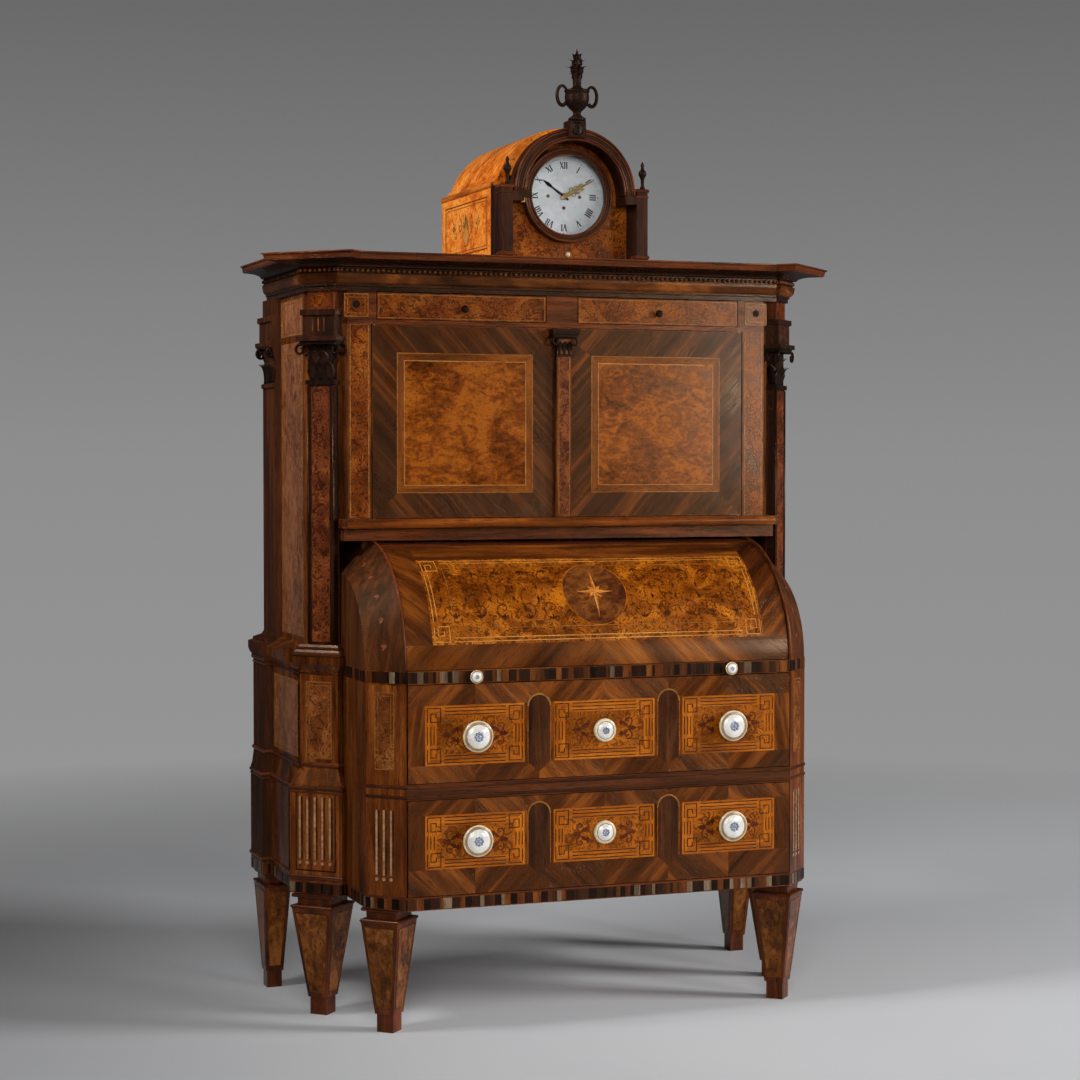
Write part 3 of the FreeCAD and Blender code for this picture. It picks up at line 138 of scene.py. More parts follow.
# shares of a leaf's length and of half its width
LEAF = [(0, 0), (0.3, 0.8), (0.6, 1.0), (1, 0), (0.6, -1.0), (0.3, -0.8)]
FLUTE_WIDTH = 0.0048
FLUTE_FOOT = 0.012
FLUTE_TIP = 0.004
FLUTE_DOT = FLUTE_WIDTH * 0.8
PANEL_LINE = 0.007  # between the two lines round a panel
BLADE_STEPS = 8
BLADE_LOBES = 6
BLADE_FOOT = 0.55
BLADE_SWELL = 0.75
BLADE_RISE = 0.9
BLADE_START = 0.08
BLADE_TIP = 0.92
BLADE_NOTCH = 0.14
BLADE_BOW = 0.22
BLADE_RIDGE = 0.16
BLADE_BACK = 0.08
# shares of a carved leaf's half width and of its ridge
BLADE_SECTION = [(-1, 0), (-0.4, 0.6), (0, 1), (0.4, 0.6), (1, 0)]
HOOK_STALK = [(1.2, 0.55), (0.5, 0.8)]  # sizes behind the volute, and shares of its height
HOOK_STEPS = 15
HOOK_TURN = 0.42
HOOK_EYE = 0.5
HOOK_CLOSE = 0.022
HOOK_THICK = 0.15
HOOK_THIN = 0.0045

# long drawers: how much of each front lies under and over its panels
DRAWER_MARGINS = {"upper_drawer": (0.036, 0.043), "lower_drawer": (0.054, 0.031)}
PANEL_SIDE = (0.180, 0.398)  # from the middle of the drawer to a side panel's edges
PANEL_HALF = 0.115
PANEL_BORDER = (0.025, 0.023)  # width of the pale border beside the field, and over it
KEY_INSET = 0.005
DIVIDER_HALF = 0.025
DIVIDER_POINT = 0.0225
DIVIDER_SPRING = 0.0075
DIVIDER_ARCH = 0.0034
DIVIDER_TOP = STRING_TOP + 0.0001
FOLIAGE_REACH = 0.050  # from the knob to the middle of the scrolls beside it
FOLIAGE_CURL = (0.004, 0.017, 0.014)  # how far out and up a scroll lies, and its size
FOLIAGE_TIP = (0.018, 0.9)
FOLIAGE_SIDE = (0.012, 0.004, 0.016)
FOLIAGE_END = (0.002, 0.022)
FOLIAGE_FAT = 0.5

# cylinder
ROLL_RADIUS = 0.257
ROLL_HALF = 0.377
# foot and top of the marquetry, top of the border and middle of the star, in degrees
ROLL_ANGLES = (11.6, 60, 76, 36.8)
ROLL_KEY_INSET = 0.006
ROLL_KEY_PITCH = 0.0082
ROLL_LINE = (0.05, 0.034, 0.03)  # the inner line's distance at the sides, below and above
OVAL = (0.072, 0.078)
OVAL_GRAIN = 30
STAR_REACHES = (0.042, 0.02, 0.061, 0.02)
STAR_WAIST = 0.011
STAR_TOP = STRING_TOP + 0.0002
SCROLLS = 5
SCROLL_START = 0.104
SCROLL_GAP = 0.054
SCROLL_RISE = 0.037
SCROLL_SIZE = 0.027
SCROLL_LOSS = 0.002
SCROLL_LEAF = 0.013
SCROLL_FAN = 0.8
STEM_LEAF = (0.027, 0.006, 0.016)

# doors and the strip between them
DOOR_PANEL = (0.070, 1.125, 0.380, 1.426)
DOOR_EDGE = 0.016  # width of the banding between the strings of a door
DOOR_LEAN = 48
STRIP_FOOT = 1.424
STRIP_HEAD = 1.466
STRIP_SIDE = 0.004
STRIP_LOW = 0.006
# how far each block of the small capital stands out beside and in front of the strip, its foot and its top
STRIP_BLOCKS = [(0.002, 0.003, STRIP_FOOT, 1.429), (0.012, 0.012, STRIP_HEAD, 1.472),
                (0.015, 0.015, 1.472, 1.484)]
STRIP_BACK = -0.010
STRIP_PITCH = 0.0115
STRIP_LEAF = (0.0125, 0.036, 0.010)
STRIP_LEAF_RISE = 0.004
STRIP_HOOK = (0.004, 0.006)
STRIP_HOOK_SIZE = 0.020

# bands of blocks: each wood with how often it comes
BLOCKS = [("ebony", 6), ("rosewood", 3), ("holly", 2), ("walnut", 3), ("divider", 2)]
BLOCK_WIDTHS = (0.006, 0.02)
BLOCK_LEAST = 0.004
BLOCK_RISE = 0.0001
BLOCK_MARGIN = 0.002
PLINTH_MARGIN = 0.004

# plan of the desk and the cabinet
BOARD = 0.020
CANT = 0.070  # the desk's cut corner, along the front
WING_CUT = 0.076  # the cabinet's cut corner, along the front
LOW_BLOCK = (0.048, 0.128)  # how far each block of the pedestal stands out, and its width
HIGH_BLOCK = (0.033, 0.093)
SHAFT = (0.022, 0.062)
# how far the base stands out beside the cabinet
LOW_SWELL = 0.027
BASE_SWELL = 0.021
REAR_SWELL = 0.039
CAP_OVER = 0.012

# cornice: its full reach to each side, then share of the reach and height of each level
CORNICE_FRONT = 0.088
CORNICE_CORNER = 0.080
CORNICE_SIDE = 0.065
CORNICE_INSET = 0.012
CORNICE_DARK = [(0.07, 0.0), (0.07, 0.009), (0.11, 0.010), (0.11, 0.014)]
CORNICE_ROUND = ((0.12, 0.036), (0.11, 0.021))  # middle and reach of the quarter round
CORNICE_COURSE = [(0.18, 0.037), (0.18, 0.049), (0.26, 0.050)]
CORNICE_HOLLOW = ((0.86, 0.051), (-0.58, 0.011))
CORNICE_FASCIA = [(0.92, 0.063), (0.95, 0.074), (1.0, 0.075)]
CORNICE_SLOPE = 0.1  # how far the grain drifts from the foot to the full reach
BEAD_GAP = 0.0115
BEAD_RADIUS = 0.0042
BEAD_LEVEL = 0.043
BEAD_SHARE = 0.205

# diagonal pilasters
CAPITAL_FOOT = 1.367
CAPITAL_UNDER = 1.443
CAPITAL_TOP = 1.460
ARCHITRAVE = 1.517
# how far each block stands out beside and in front of the shaft, its top and its wood
PILASTER_BLOCKS = [(0.0, 0.0, 1.357, "rosewood"), (0.004, 0.004, CAPITAL_FOOT, "ebony"),
                   (-0.003, -0.002, CAPITAL_UNDER, "ebony"), (0.0135, 0.0126, 1.450, "ebony"),
                   (0.018, 0.018, CAPITAL_TOP, "rosewood"), (0.008, 0.008, 1.505, "rosewood"),
                   (0.012, 0.012, ARCHITRAVE, "rosewood")]
# each row of leaves: count, height over the foot, depth in the face, size and wood
CAPITAL_LEAVES = [(3, 0.0, 0.004, (0.02, 0.052, 0.016), "ebony"),
                  (2, 0.012, 0.006, (0.02, 0.064, 0.018), "rosewood")]
CAPITAL_PITCH = 0.021
SIDE_LEAF = (0.02, 0.056, 0.014)
SIDE_LEAF_INSET = 0.004
CAPITAL_HOOK = 0.024
CAPITAL_HOOK_OUT = 0.012
CAPITAL_HOOK_REAR = 0.006
ARRIS_RADIUS = 0.0022
ARRIS_LOW = 0.004
ARRIS_HIGH = 0.012
SHAFT_MARGIN = 0.009
SHAFT_LOW = 0.006
SHAFT_HIGH = 0.014
GROOVE_GAP = 0.014
GROOVE_TOP = 0.0088
GROOVE_LOW = 0.010
GROOVE_HIGH = 0.018
FRIEZE_MARGIN = (0.008, 0.006)

# rear pilasters: how far out and how high each place of the outline is
REAR_PROFILE = [
    (0.046, 0.293), (0.046, 0.500), (0.043, 0.506), (0.039, 0.535), (0.039, 0.744), (0.043, 0.748),
    (0.043, 0.756), (0.047, 0.760), (0.051, 0.770), (0.051, 0.786), (0.040, 0.789), (0.040, 0.794),
    (0.020, 0.800), (0.014, 0.808), (0.014, 1.357), (0.018, 1.359), (0.018, 1.367), (0.012, 1.370),
    (0.011, 1.418), (0.016, 1.430), (0.020, 1.446), (0.028, 1.448), (0.032, 1.452), (0.032, 1.460),
    (0.022, 1.461), (0.022, 1.504), (0.027, 1.506), (0.027, 1.517), (0.014, 1.519), (0.014, 1.557)
]
REAR_OUT = 0.012
REAR_FOOT = 1.368
REAR_LEAVES = 5
REAR_PITCH = 0.0205
REAR_LEAF = (0.022, 0.056, 0.014)
REAR_HOOK_LEVEL = 1.448
REAR_HOOK_OUT = 0.020
REAR_HOOK_ENDS = (0.008, 0.012)
REAR_HOOK = 0.026
FLANK_HOOK_INSET = 0.014
FLANK_HOOK_OUT = 0.012
FLANK_HOOK = 0.020

# clock finials: radius and height of each place of a profile
URN = [
    (0.0, 0.0), (0.019, 0.0), (0.019, 0.005), (0.011, 0.010), (0.008, 0.015), (0.010, 0.020), (0.017, 0.026),
    (0.0235, 0.034), (0.026, 0.042), (0.0265, 0.052), (0.0255, 0.060), (0.0275, 0.062), (0.0275, 0.066),
    (0.0165, 0.068), (0.010, 0.072), (0.0085, 0.078), (0.0095, 0.086), (0.0095, 0.098), (0.008, 0.112),
    (0.006, 0.128), (0.0035, 0.144), (0.0, 0.155)
]
URN_BACK = 0.0055  # behind the foremost place of the hood
HANDLE_STEPS = 20
HANDLE_MIDDLE = (0.034, 0.053)
HANDLE_REACH = (0.012, 0.021)
HANDLE_START = -130
HANDLE_SWEEP = 275
HANDLE_THICK = 0.0044
HANDLE_LOSS = 0.0014
# each tier of the spire: level of its leaves, their height, width and lean
SPIRE = [(0.074, 0.018, 0.011, 0.004), (0.086, 0.022, 0.016, 0.009), (0.098, 0.024, 0.020, 0.016),
         (0.114, 0.022, 0.015, 0.011), (0.129, 0.019, 0.010, 0.006)]
SPIRE_LEAVES = 6
SPIRE_CORE = 0.006
SPIRE_TWIST = 90
FINIAL = [(0.0, 0.0), (0.0055, 0.0), (0.0055, 0.003), (0.0035, 0.007), (0.004, 0.02), (0.0065, 0.026),
          (0.009, 0.031), (0.0082, 0.037), (0.004, 0.042), (0.0032, 0.047), (0.0042, 0.051), (0.0022, 0.056),
          (0.0, 0.06)]
FINIAL_RADIUS = 0.009
FINIAL_BACK = 0.008

# clock hood: radius and thickness of each bar
ARCH_BARS = [(0.1165, 0.0026), (0.122, 0.0014), (0.133, 0.0016), (0.1385, 0.0028)]
ARCH_STEPS = 40
BEZEL_BARS = [(0.0885, 0.0022), (0.0945, 0.0013), (0.1005, 0.0022)]
KEYSTONE_REACH = 0.014
HOOD_PILASTER = 0.026
HOOD_RISE = 0.015
BEZEL_DEPTH = 0.0195
HOOD_RETURN = 0.03
HOOD_HEAD_BARS = [(0.003, -0.008, -0.001), (0.002, -0.020, -0.016)]  # out, then from and to below the head
HOOD_FOOT_BAR = (0.003, 0.001, 0.010)
KEYSTONE_LEAF = (0.026, 0.036, 0.003)
KEYSTONE_SINK = 0.001
KEYSTONE_DROP = 0.004

# corner posts and pedestals
POST_EDGE = 0.002
POST_PANEL = (-0.026, 0.028, 0.018, 0.016)
POST_FLUTES = (3, 0.017)
POST_FLUTE_PLACE = -0.006
POST_FLUTE_ENDS = (0.03, 0.02)
LOW_PANEL = (0.300, 0.494)
LOW_MARGIN = 0.006
LOW_LINE = (0.316, 0.484)
LOW_LINE_INSET = 0.010
LOW_FLUTES = (5, 0.0185)
LOW_FLUTE_PLACE = -0.002
LOW_FLUTE_ENDS = (0.328, 0.474)
HIGH_PANEL = (0.540, 0.735)
HIGH_MARGIN = 0.004
HIGH_FRAME = (0.556, 0.720)
HIGH_FRAME_INSET = 0.012

# half-round bars: how far each stands out, its foot and its top
LOW_BARS = [(0.0035, 0.488, 0.496), (0.002, 0.482, 0.4855), (0.004, 0.296, 0.306)]
HIGH_BARS = [(0.004, 0.5375, 0.547), (0.0025, 0.7365, 0.7405), (0.005, 0.744, 0.756)]
# the same for the cap, after a share of the cap's reach
CAP_BARS = [(1.0, 0.003, 0.7755, 0.7845), (0.45, 0.0025, 0.7895, 0.7955)]
RAIL_BAR = 0.0025
RAIL_BAR_HALF = 0.0035
RAIL_BAR_INSET = 0.006
SHELF_END = 0.005
SHELF_LIP = 0.022
SHELF_ROUND = 0.007
SHELF_RETURN = 0.03

# cheeks
FLOWERS = 5
FLOWER_START = 0.05
FLOWER_GAP = 0.058
PETALS = 5
PETAL = 0.010
PETAL_TURN = 0.3
PETAL_FAT = 0.6
FLOWER_EYE = 0.0022
SPRIG_RISE = 0.014
SPRIG = 0.012
SPRIG_LEAN = 0.5
STALK = (0.010, 0.044)
CHEEK_BEAD = 0.0028
CHEEK_BEAD_INSET = 0.003
CHEEK_BEAD_SINK = 0.001
CHEEK_STEPS = 30

# stiles, sides of the cabinet and frieze
STILE_EDGE = 0.003
STILE_WIDTH = 0.053
STILE_END = 0.002
WING_DEPTHS = (0.070, 0.258)
WING_PANEL = (0.812, 1.452)
WING_HEAD = (1.468, 1.546)
# inset, foot, top and width of each line
WING_LINES = [(0.012, 0.83, 1.43, LIGHT), (0.02, 0.838, 1.422, HAIR)]
BASE_MARGIN = 0.014
DRAWER_LINE = 0.004
DIE_PLACE = 0.471
DIE_HALF = 0.026
DIE_LEVELS = (1.503, 1.551)
DIE_DOT = 0.008
DIE_DOT_LEVEL = 1.529

# legs: width and depth at the top and at the foot, and how far the leg is turned, in degrees
LEGS = {"front": ((0.087, 0.087), (0.044, 0.044), 45), "middle": ((0.098, 0.098), (0.046, 0.046), 45),
        "rear": ((0.060, 0.104), (0.040, 0.040), 0)}
LEG_FOOT = 0.038
LEG_NECK = 0.235
LEG_INSET = 0.012
LEG_MARGINS = (0.007, 0.009)
COLLARS = [(0.0005, 0.0025, LEG_NECK - 0.002, LEG_NECK + 0.005), (0.002, 0.002, 0.2565, 0.2645)]
COLLAR_DEPTH = 0.02

# knobs: shares of the radius and of the reach, and the glaze of each step
KNOB = [
    (0.3, 0.0), (0.66, 0.0), (0.66, 0.1), (0.5, 0.18), (0.42, 0.34), (0.46, 0.46), (0.6, 0.54), (0.86, 0.6),
    (1.0, 0.68), (1.0, 0.77), (0.92, 0.84), (0.81, 0.82), (0.75, 0.86), (0.62, 0.94), (0.4, 0.985), (0.0, 1.0)
]
KNOB_BANDS = ["cream"] * 10 + ["gilt"] * 2 + ["ceramic"] * 4
ROSETTE = [
    (0.3, 0.0), (1.0, 0.0), (1.0, 0.4), (0.92, 0.6), (0.78, 0.62), (0.74, 0.58), (0.7, 0.62), (0.55, 0.86),
    (0.3, 0.98), (0.0, 1.0)
]
ROSETTE_BANDS = ["cream"] * 4 + ["gilt"] * 2 + ["ceramic"] * 4
KNOB_RADIUS = 0.033
SLIDE_KNOB_RADIUS = 0.014
ROSETTE_SIZE = (0.025, 0.011)
FLOWER_RISE = 0.0036
FLOWER_PETALS = 8
FLOWER_RING = 0.23
FLOWER_BEAD = 0.1
FLOWER_LEVEL = 0.975
HEART_BEAD = 0.12
HEART_LEVEL = 0.985
BUTTON = [(0.0055, 0.0), (0.006, 0.002), (0.0045, 0.0045), (0.0, 0.006)]
BUTTON_PLACE = (0.004, 0.012)

# dial: each letter's strokes as two places and a share of the bar's width
NUMERALS = ["XII", "I", "II", "III", "IIII", "V", "VI", "VII", "VIII", "IX", "X", "XI"]
STROKES = {"I": [((0.5, 0), (0.5, 1), 1.0)],
           "V": [((0, 1), (0.5, 0), 1.0), ((1, 1), (0.5, 0), 0.45)],
           "X": [((0, 1), (1, 0), 1.0), ((1, 1), (0, 0), 0.45)]}
LETTER_SHARES = {"I": 0.2, "V": 0.5, "X": 0.5}
LETTER_HEIGHT = 0.0155
LETTER_REACH = 0.0605
LETTER_BAR = 0.0029
LETTER_GAP = 0.0016
MINUTE_RING = 0.0805
HOUR_DOT = 0.0013
MINUTE_DOT = 0.0007
WINDING_HOLES = [(-0.037, 0), (0.037, 0), (0, -0.025)]
WINDING_RIM = 0.0042
WINDING_BORE = 0.0028

# hands: places along the hand with half its width
HOUR_ANGLE = math.radians(305)
MINUTE_ANGLE = math.radians(61)
HOUR_BLADE = [
    (0.0058, 0.003), (0.034, 0.0016), (0.041, 0.0034), (0.046, 0.0038), (0.052, 0.0024), (0.061, 0.0003)
]
HOUR_TAIL = [(-0.012, 0.0022), (-0.0058, 0.003)]
HOUR_HUB = (0.0034, 0.0068)  # bore and outside of the ring on the pipe
MINUTE_RINGS = [(0.020, 0.0058, 0.0046), (0.031, 0.0048, 0.0036)]
MINUTE_WIRE = 0.0009
MINUTE_SINK = 0.001
MINUTE_LEAF = 0.016
MINUTE_LEAF_PLACE = 0.034
MINUTE_LEAF_TOP = 0.0006
MINUTE_LEAF_FAT = 0.4
LEAF_LEAN = 0.5

# sides of the clock case: distance from the ends, and foot and top over the floor of the case
CASE_FIELD = (0.010, 0.008, 0.152)
CASE_PANEL = (0.03, 0.024, 0.136)
CASE_LINE = 0.007
CASE_SIZE = 0.2
CASE_BAR = 0.0035
CASE_BAR_HALF = 0.006
CASE_BAR_SUNK = -0.004
VASE = [(0.5, -1.7), (0.3, -1.45), (0.9, -1.1), (1.1, -0.7), (0.8, -0.3), (0.45, -0.1), (0.8, 0.08)]
# how far out and up each scroll is, its size and its way of winding
VASE_SCROLLS = [(1.9, 0.3, 0.9, 1), (3.1, -0.4, 0.75, -1), (4.0, 0.3, 0.55, 1)]
VASE_OUTLINE = 0.0054
VASE_SCROLL_LEAF = 0.7
VASE_LIP = 0.1
VASE_SIDE = 0.3
VASE_LEAVES = 3
VASE_LEAF = 1.4
VASE_LEAF_LOSS = 0.2
VASE_FAN = 0.5
VASE_LEAN = 0.25
VASE_TOP_LEAF = 1.5

# woods: dark, middle and light tone as screen colours, then what differs from the usual grain and polish
BROWN = ((44, 19, 6), (88, 42, 14), (132, 72, 28))
RED_BROWN = ((40, 16, 8), (80, 35, 15), (118, 56, 25))
ORANGE = ((136, 62, 14), (190, 98, 26), (222, 138, 52))
DARK = ((18, 9, 6), (38, 18, 11), (62, 31, 19))
PINE = ((132, 80, 42), (178, 116, 66), (206, 148, 96))
LINE_GRAIN = dict(along=9.0, across=120.0)
PINE_GRAIN = dict(along=3.0, across=34.0, polish=0.55)
WOODS = {
    "walnut": (BROWN, {}),
    "walnut_x": (BROWN, dict(grain="x")),
    "walnut_z": (BROWN, dict(grain="z")),
    "red": (RED_BROWN, {}),
    "red_x": (RED_BROWN, dict(grain="x")),
    "red_z": (RED_BROWN, dict(grain="z")),
    "top_wood": (RED_BROWN, dict(polish=0.7, coat=0.0)),
    "rosewood": (DARK, {}),
    "dark_x": (DARK, dict(grain="x")),
    "dark_z": (DARK, dict(grain="z", polish=0.4, finish=DULL)),
    "pine_x": (PINE, dict(grain="x", **PINE_GRAIN)),
    "pine_y": (PINE, dict(grain="y", **PINE_GRAIN)),
    "pine_z": (PINE, dict(grain="z", **PINE_GRAIN)),
    "satin": (ORANGE, {}),
    "crossband": (((32, 12, 3), (78, 36, 9), (140, 74, 23)), dict(along=4.0, across=46.0, stripe=0.55)),
    "door_band": (((32, 13, 3), (60, 26, 6), (112, 56, 17)), dict(along=2.6, across=84.0, stripe=0.5)),
    "door_edge": (((76, 34, 5), (106, 50, 8), (136, 72, 15)), dict(along=9.0)),
    "roll_band": (((44, 18, 4), (102, 50, 11), (172, 98, 31)), dict(along=3.0, across=40.0, stripe=0.7)),
    "band": (((44, 18, 5), (80, 38, 11), (136, 73, 25)), dict(along=14.0, across=40.0, stripe=0.7)),
    # shelf nosing: brown wood lightened partly as a painted highlight along its rounded edge
    "nosing": (((66, 28, 7), (114, 54, 13), (154, 84, 27)), dict(along=4.0)),
    "key_ground": (((120, 57, 7), (162, 84, 12), (194, 110, 24)), dict(along=6.0, across=70.0)),
    "string": (((104, 60, 22), (138, 86, 35), (164, 112, 54)), LINE_GRAIN),
    "door_string": (((128, 80, 32), (162, 110, 52), (184, 136, 76)), LINE_GRAIN),
    "pale_string": (((150, 92, 36), (190, 126, 56), (212, 154, 82)), LINE_GRAIN),
    "flute": (((124, 84, 56), (164, 120, 84), (190, 148, 110)), LINE_GRAIN),
    "soft_line": (((80, 32, 6), (106, 46, 8), (128, 62, 14)), {}),
    "scroll_line": (((44, 18, 4), (64, 27, 6), (84, 38, 10)), {}),
    "motif": (((58, 20, 6), (84, 31, 9), (108, 44, 14)), {}),
    "petal": (((92, 42, 22), (122, 62, 36), (146, 84, 54)), {}),
    "divider": (((34, 15, 6), (60, 29, 13), (90, 48, 22)), {}),
    "holly": (((72, 56, 42), (104, 84, 64), (136, 114, 90)), {}),
    "post": (((50, 22, 7), (102, 49, 16), (150, 83, 32)), {}),
    "ebony": (((14, 9, 7), (26, 15, 11), (42, 24, 17)), dict(polish=0.42, coat=0.0, finish=DULL)),
    "ebony_x": (((9, 6, 5), (17, 10, 8), (28, 17, 13)), dict(grain="x", polish=0.4, coat=0.0, finish=DULL)),
    "cheek_z": (((36, 16, 6), (72, 35, 14), (104, 56, 24)), dict(grain="z", polish=0.5)),
    "rail_x": (((30, 12, 5), (62, 27, 11), (92, 43, 19)), dict(grain="x", polish=0.4)),
    "bar": (((30, 12, 6), (60, 26, 12), (88, 42, 20)), dict(polish=0.8, coat=0.0)),
    # rear pilasters: walnut toned darker than the rest as painted shade, as if they stood in shadow
    "rear_wood": (((34, 14, 7), (60, 27, 13), (90, 45, 22)), dict(polish=0.6, coat=0.0)),
}
# burrs: four tones from dark to light, where the pattern lies and its scale
BRIGHT_BURR = ((116, 47, 8), (188, 88, 18), (218, 116, 32), (238, 148, 60))
BURLS = {
    "burr": (((42, 16, 2), (84, 36, 3), (110, 50, 6), (146, 76, 11)), "UV", 38.0),
    "bright": (BRIGHT_BURR, "UV", 24.0),
    "bright_board": (BRIGHT_BURR, "Object", 24.0),
    "wing_burr": (((58, 29, 15), (102, 56, 31), (128, 76, 46), (154, 98, 62)), "UV", 26.0),
    "leg": (((38, 16, 5), (74, 36, 12), (100, 54, 19), (134, 79, 32)), "UV", 30.0),
    "oval": (((34, 14, 7), (66, 30, 14), (86, 43, 18), (116, 66, 24)), "UV", 30.0),
}
# marquetry: three tones of the ground, the line's tone, where the pattern lies and its scale
MARQUETRY = {
    "scroll": (((80, 32, 4), (113, 48, 6), (144, 74, 14)), (42, 16, 5), "UV", 30.0),
    "red_scroll": (((76, 31, 14), (108, 50, 22), (140, 72, 33)), (36, 15, 9), "UV", 30.0),
    "roll_scroll": (((94, 41, 5), (140, 70, 9), (194, 110, 18)), (54, 23, 4), "UV", 30.0),
    "panel_scroll": (((108, 51, 6), (146, 75, 10), (182, 100, 18)), (84, 38, 6), "UV", 22.0),
    "cant_scroll": (((96, 48, 20), (132, 71, 30), (164, 98, 48)), (62, 30, 12), "UV", 30.0),
    # clock's front panel: darker than the case's burr as painted shade under the hood's arch
    "scroll_board": (((92, 36, 4), (132, 58, 7), (164, 86, 14)), (50, 19, 5), "Object", 26.0),
}
# glazes and metals: dark and light tone, roughness and how metallic
GLAZES = {
    "ceramic": ((208, 203, 194), (226, 222, 215), 0.14, 0.0),
    "cream": ((196, 176, 138), (222, 206, 172), 0.18, 0.0),
    "blue": ((96, 108, 134), (136, 148, 170), 0.2, 0.0),
    "gilt": ((128, 98, 62), (158, 128, 88), 0.3, 0.0),
    "enamel": ((212, 214, 216), (228, 229, 231), 0.12, 0.0),
    "ink": ((16, 18, 26), (30, 32, 42), 0.3, 0.0),
    "brass": ((150, 112, 52), (196, 156, 86), 0.26, 1.0),
    "steel": ((14, 15, 22), (34, 36, 48), 0.24, 0.7),
    "gilt_hand": ((124, 96, 46), (166, 134, 72), 0.3, 0.35),
}


def linear(level):
    """Turns one level of a screen colour, 0 to 255, into linear light."""
    share = level / 255
    return share / 12.92 if share < 0.04045 else ((share + 0.055) / 1.055) ** 2.4


def tone(colour):
    """Turns a screen colour into the linear colour that a shader takes."""
    return (*(linear(level) for level in colour), 1.0)


class Nodes:
    """A node tree that grows node by node."""

    def __init__(self, tree):
        self.tree = tree

    def put(self, kind, inputs, **settings):
        """Adds a node; each of its inputs is a constant or the output of another node."""
        node = self.tree.nodes.new(kind)
        for key, value in settings.items():
            setattr(node, key, value)
        for key, value in inputs.items():
            if isinstance(value, bpy.types.NodeSocket):
                self.tree.links.new(value, node.inputs[key])
            else:
                node.inputs[key].default_value = value
        return node

    def between(self, value, low, high, to_low=0.0, to_high=1.0):
        inputs = {"Value": value, "From Min": low, "From Max": high, "To Min": to_low, "To Max": to_high}
        return self.put("ShaderNodeMapRange", inputs).outputs[0]

    def ramp(self, value, stops):
        node = self.put("ShaderNodeValToRGB", {"Fac": value})
        points = node.color_ramp.elements
        while len(points) < len(stops):
            points.new(0.5)
        for point, (position, colour) in zip(points, stops):
            point.position = position
            point.color = colour
        return node.outputs[0]


class Shader(Nodes):
    """A principled material, put together node by node."""

    def __init__(self, name, source):
        self.material = bpy.data.materials.new(name)
        self.material.use_nodes = True
        super().__init__(self.material.node_tree)
        self.surface = self.tree.nodes["Principled BSDF"]
        self.source = self.put("ShaderNodeTexCoord", {}).outputs[source]

    def scaled(self, factors):
        return self.put("ShaderNodeMapping", {"Vector": self.source, "Scale": factors}).outputs[0]

    def noise(self, factors, detail, distortion=0.0):
        inputs = {"Vector": self.scaled(factors), "Scale": 1.0, "Detail": detail, "Distortion": distortion}
        return self.put("ShaderNodeTexNoise", inputs).outputs[0]

    def even_noise(self, size, detail, distortion=0.0):
        return self.noise((size,) * 3, detail, distortion)

    def cells(self, size):
        inputs = {"Vector": self.scaled((size,) * 3), "Scale": 1.0}
        return self.put("ShaderNodeTexVoronoi", inputs).outputs[0]

    def sums(self, operation, first, second=0.0):
        return self.put("ShaderNodeMath", {0: first, 1: second}, operation=operation).outputs[0]

    def weighed(self, first, second, share):
        return self.sums("ADD", self.sums("MULTIPLY", first, 1 - share), self.sums("MULTIPLY", second, share))

    def mixed(self, share, first, second, blend="MIX"):
        node = self.put("ShaderNodeMix", {0: share, 6: first, 7: second}, data_type="RGBA", blend_type=blend)
        return node.outputs[2]

    def shaded(self, colour, mask, shade):
        """Darkens a colour where a mask is low."""
        return self.mixed(1.0, colour, self.ramp(mask, [(0.0, shade), (1.0, WHITE)]), "MULTIPLY")

    def done(self, colour, rough, height, depth, coat=0.0, **constants):
        """Links colour, roughness and relief to the surface and sets the rest."""
        bump = self.put("ShaderNodeBump", {"Strength": 1.0, "Distance": depth, "Height": height})
        for socket, value in (("Base Color", colour), ("Roughness", rough), ("Normal", bump.outputs[0])):
            self.tree.links.new(value, self.surface.inputs[socket])
        constants.update(Coat_Weight=coat, Coat_Roughness=COAT_ROUGH)
        for socket, value in constants.items():
            self.surface.inputs[socket.replace("_", " ")].default_value = value
        return self.material


def grain_factors(grain, along, across):
    """Scales that draw a pattern out along the grain: on a cut veneer, or along one axis of a board."""
    order = {"cut": (along, across, 1.0), "x": (along, across, across), "y": (across, along, across),
             "z": (across, across, along)}
    return order[grain]


def wood(name, tones, grain="cut", along=5.0, across=60.0, stripe=0.4, polish=0.3, coat=THIN_COAT,
         finish=SHELLAC):
    """Straight-grained wood: fine figure, broad bands, pores and a rubbed polish."""
    shader = Shader(name, "UV" if grain == "cut" else "Object")
    fine = shader.noise(grain_factors(grain, along, across), detail=7.0, distortion=0.6)
    wide = grain_factors(grain, along * BAND_SHARES[0], across * BAND_SHARES[1])
    broad = shader.noise(wide, detail=2.0, distortion=0.9)
    colour = shader.ramp(shader.weighed(fine, broad, stripe), list(zip(WOOD_STOPS, map(tone, tones))))
    pores = shader.noise(grain_factors(grain, along * PORE_TIMES[0], across * PORE_TIMES[1]), detail=2.0)
    pore_mask = shader.between(pores, *PORE_EDGE)
    colour = shader.shaded(colour, pore_mask, PORE_SHADE)
    rub = shader.even_noise(9.0, detail=3.0)
    rough = shader.between(rub, *CLOUD, polish - 0.1, polish + 0.06)
    relief = shader.weighed(pore_mask, fine, 0.4)
    return shader.done(colour, rough, relief, depth=0.00025, coat=coat, **finish)


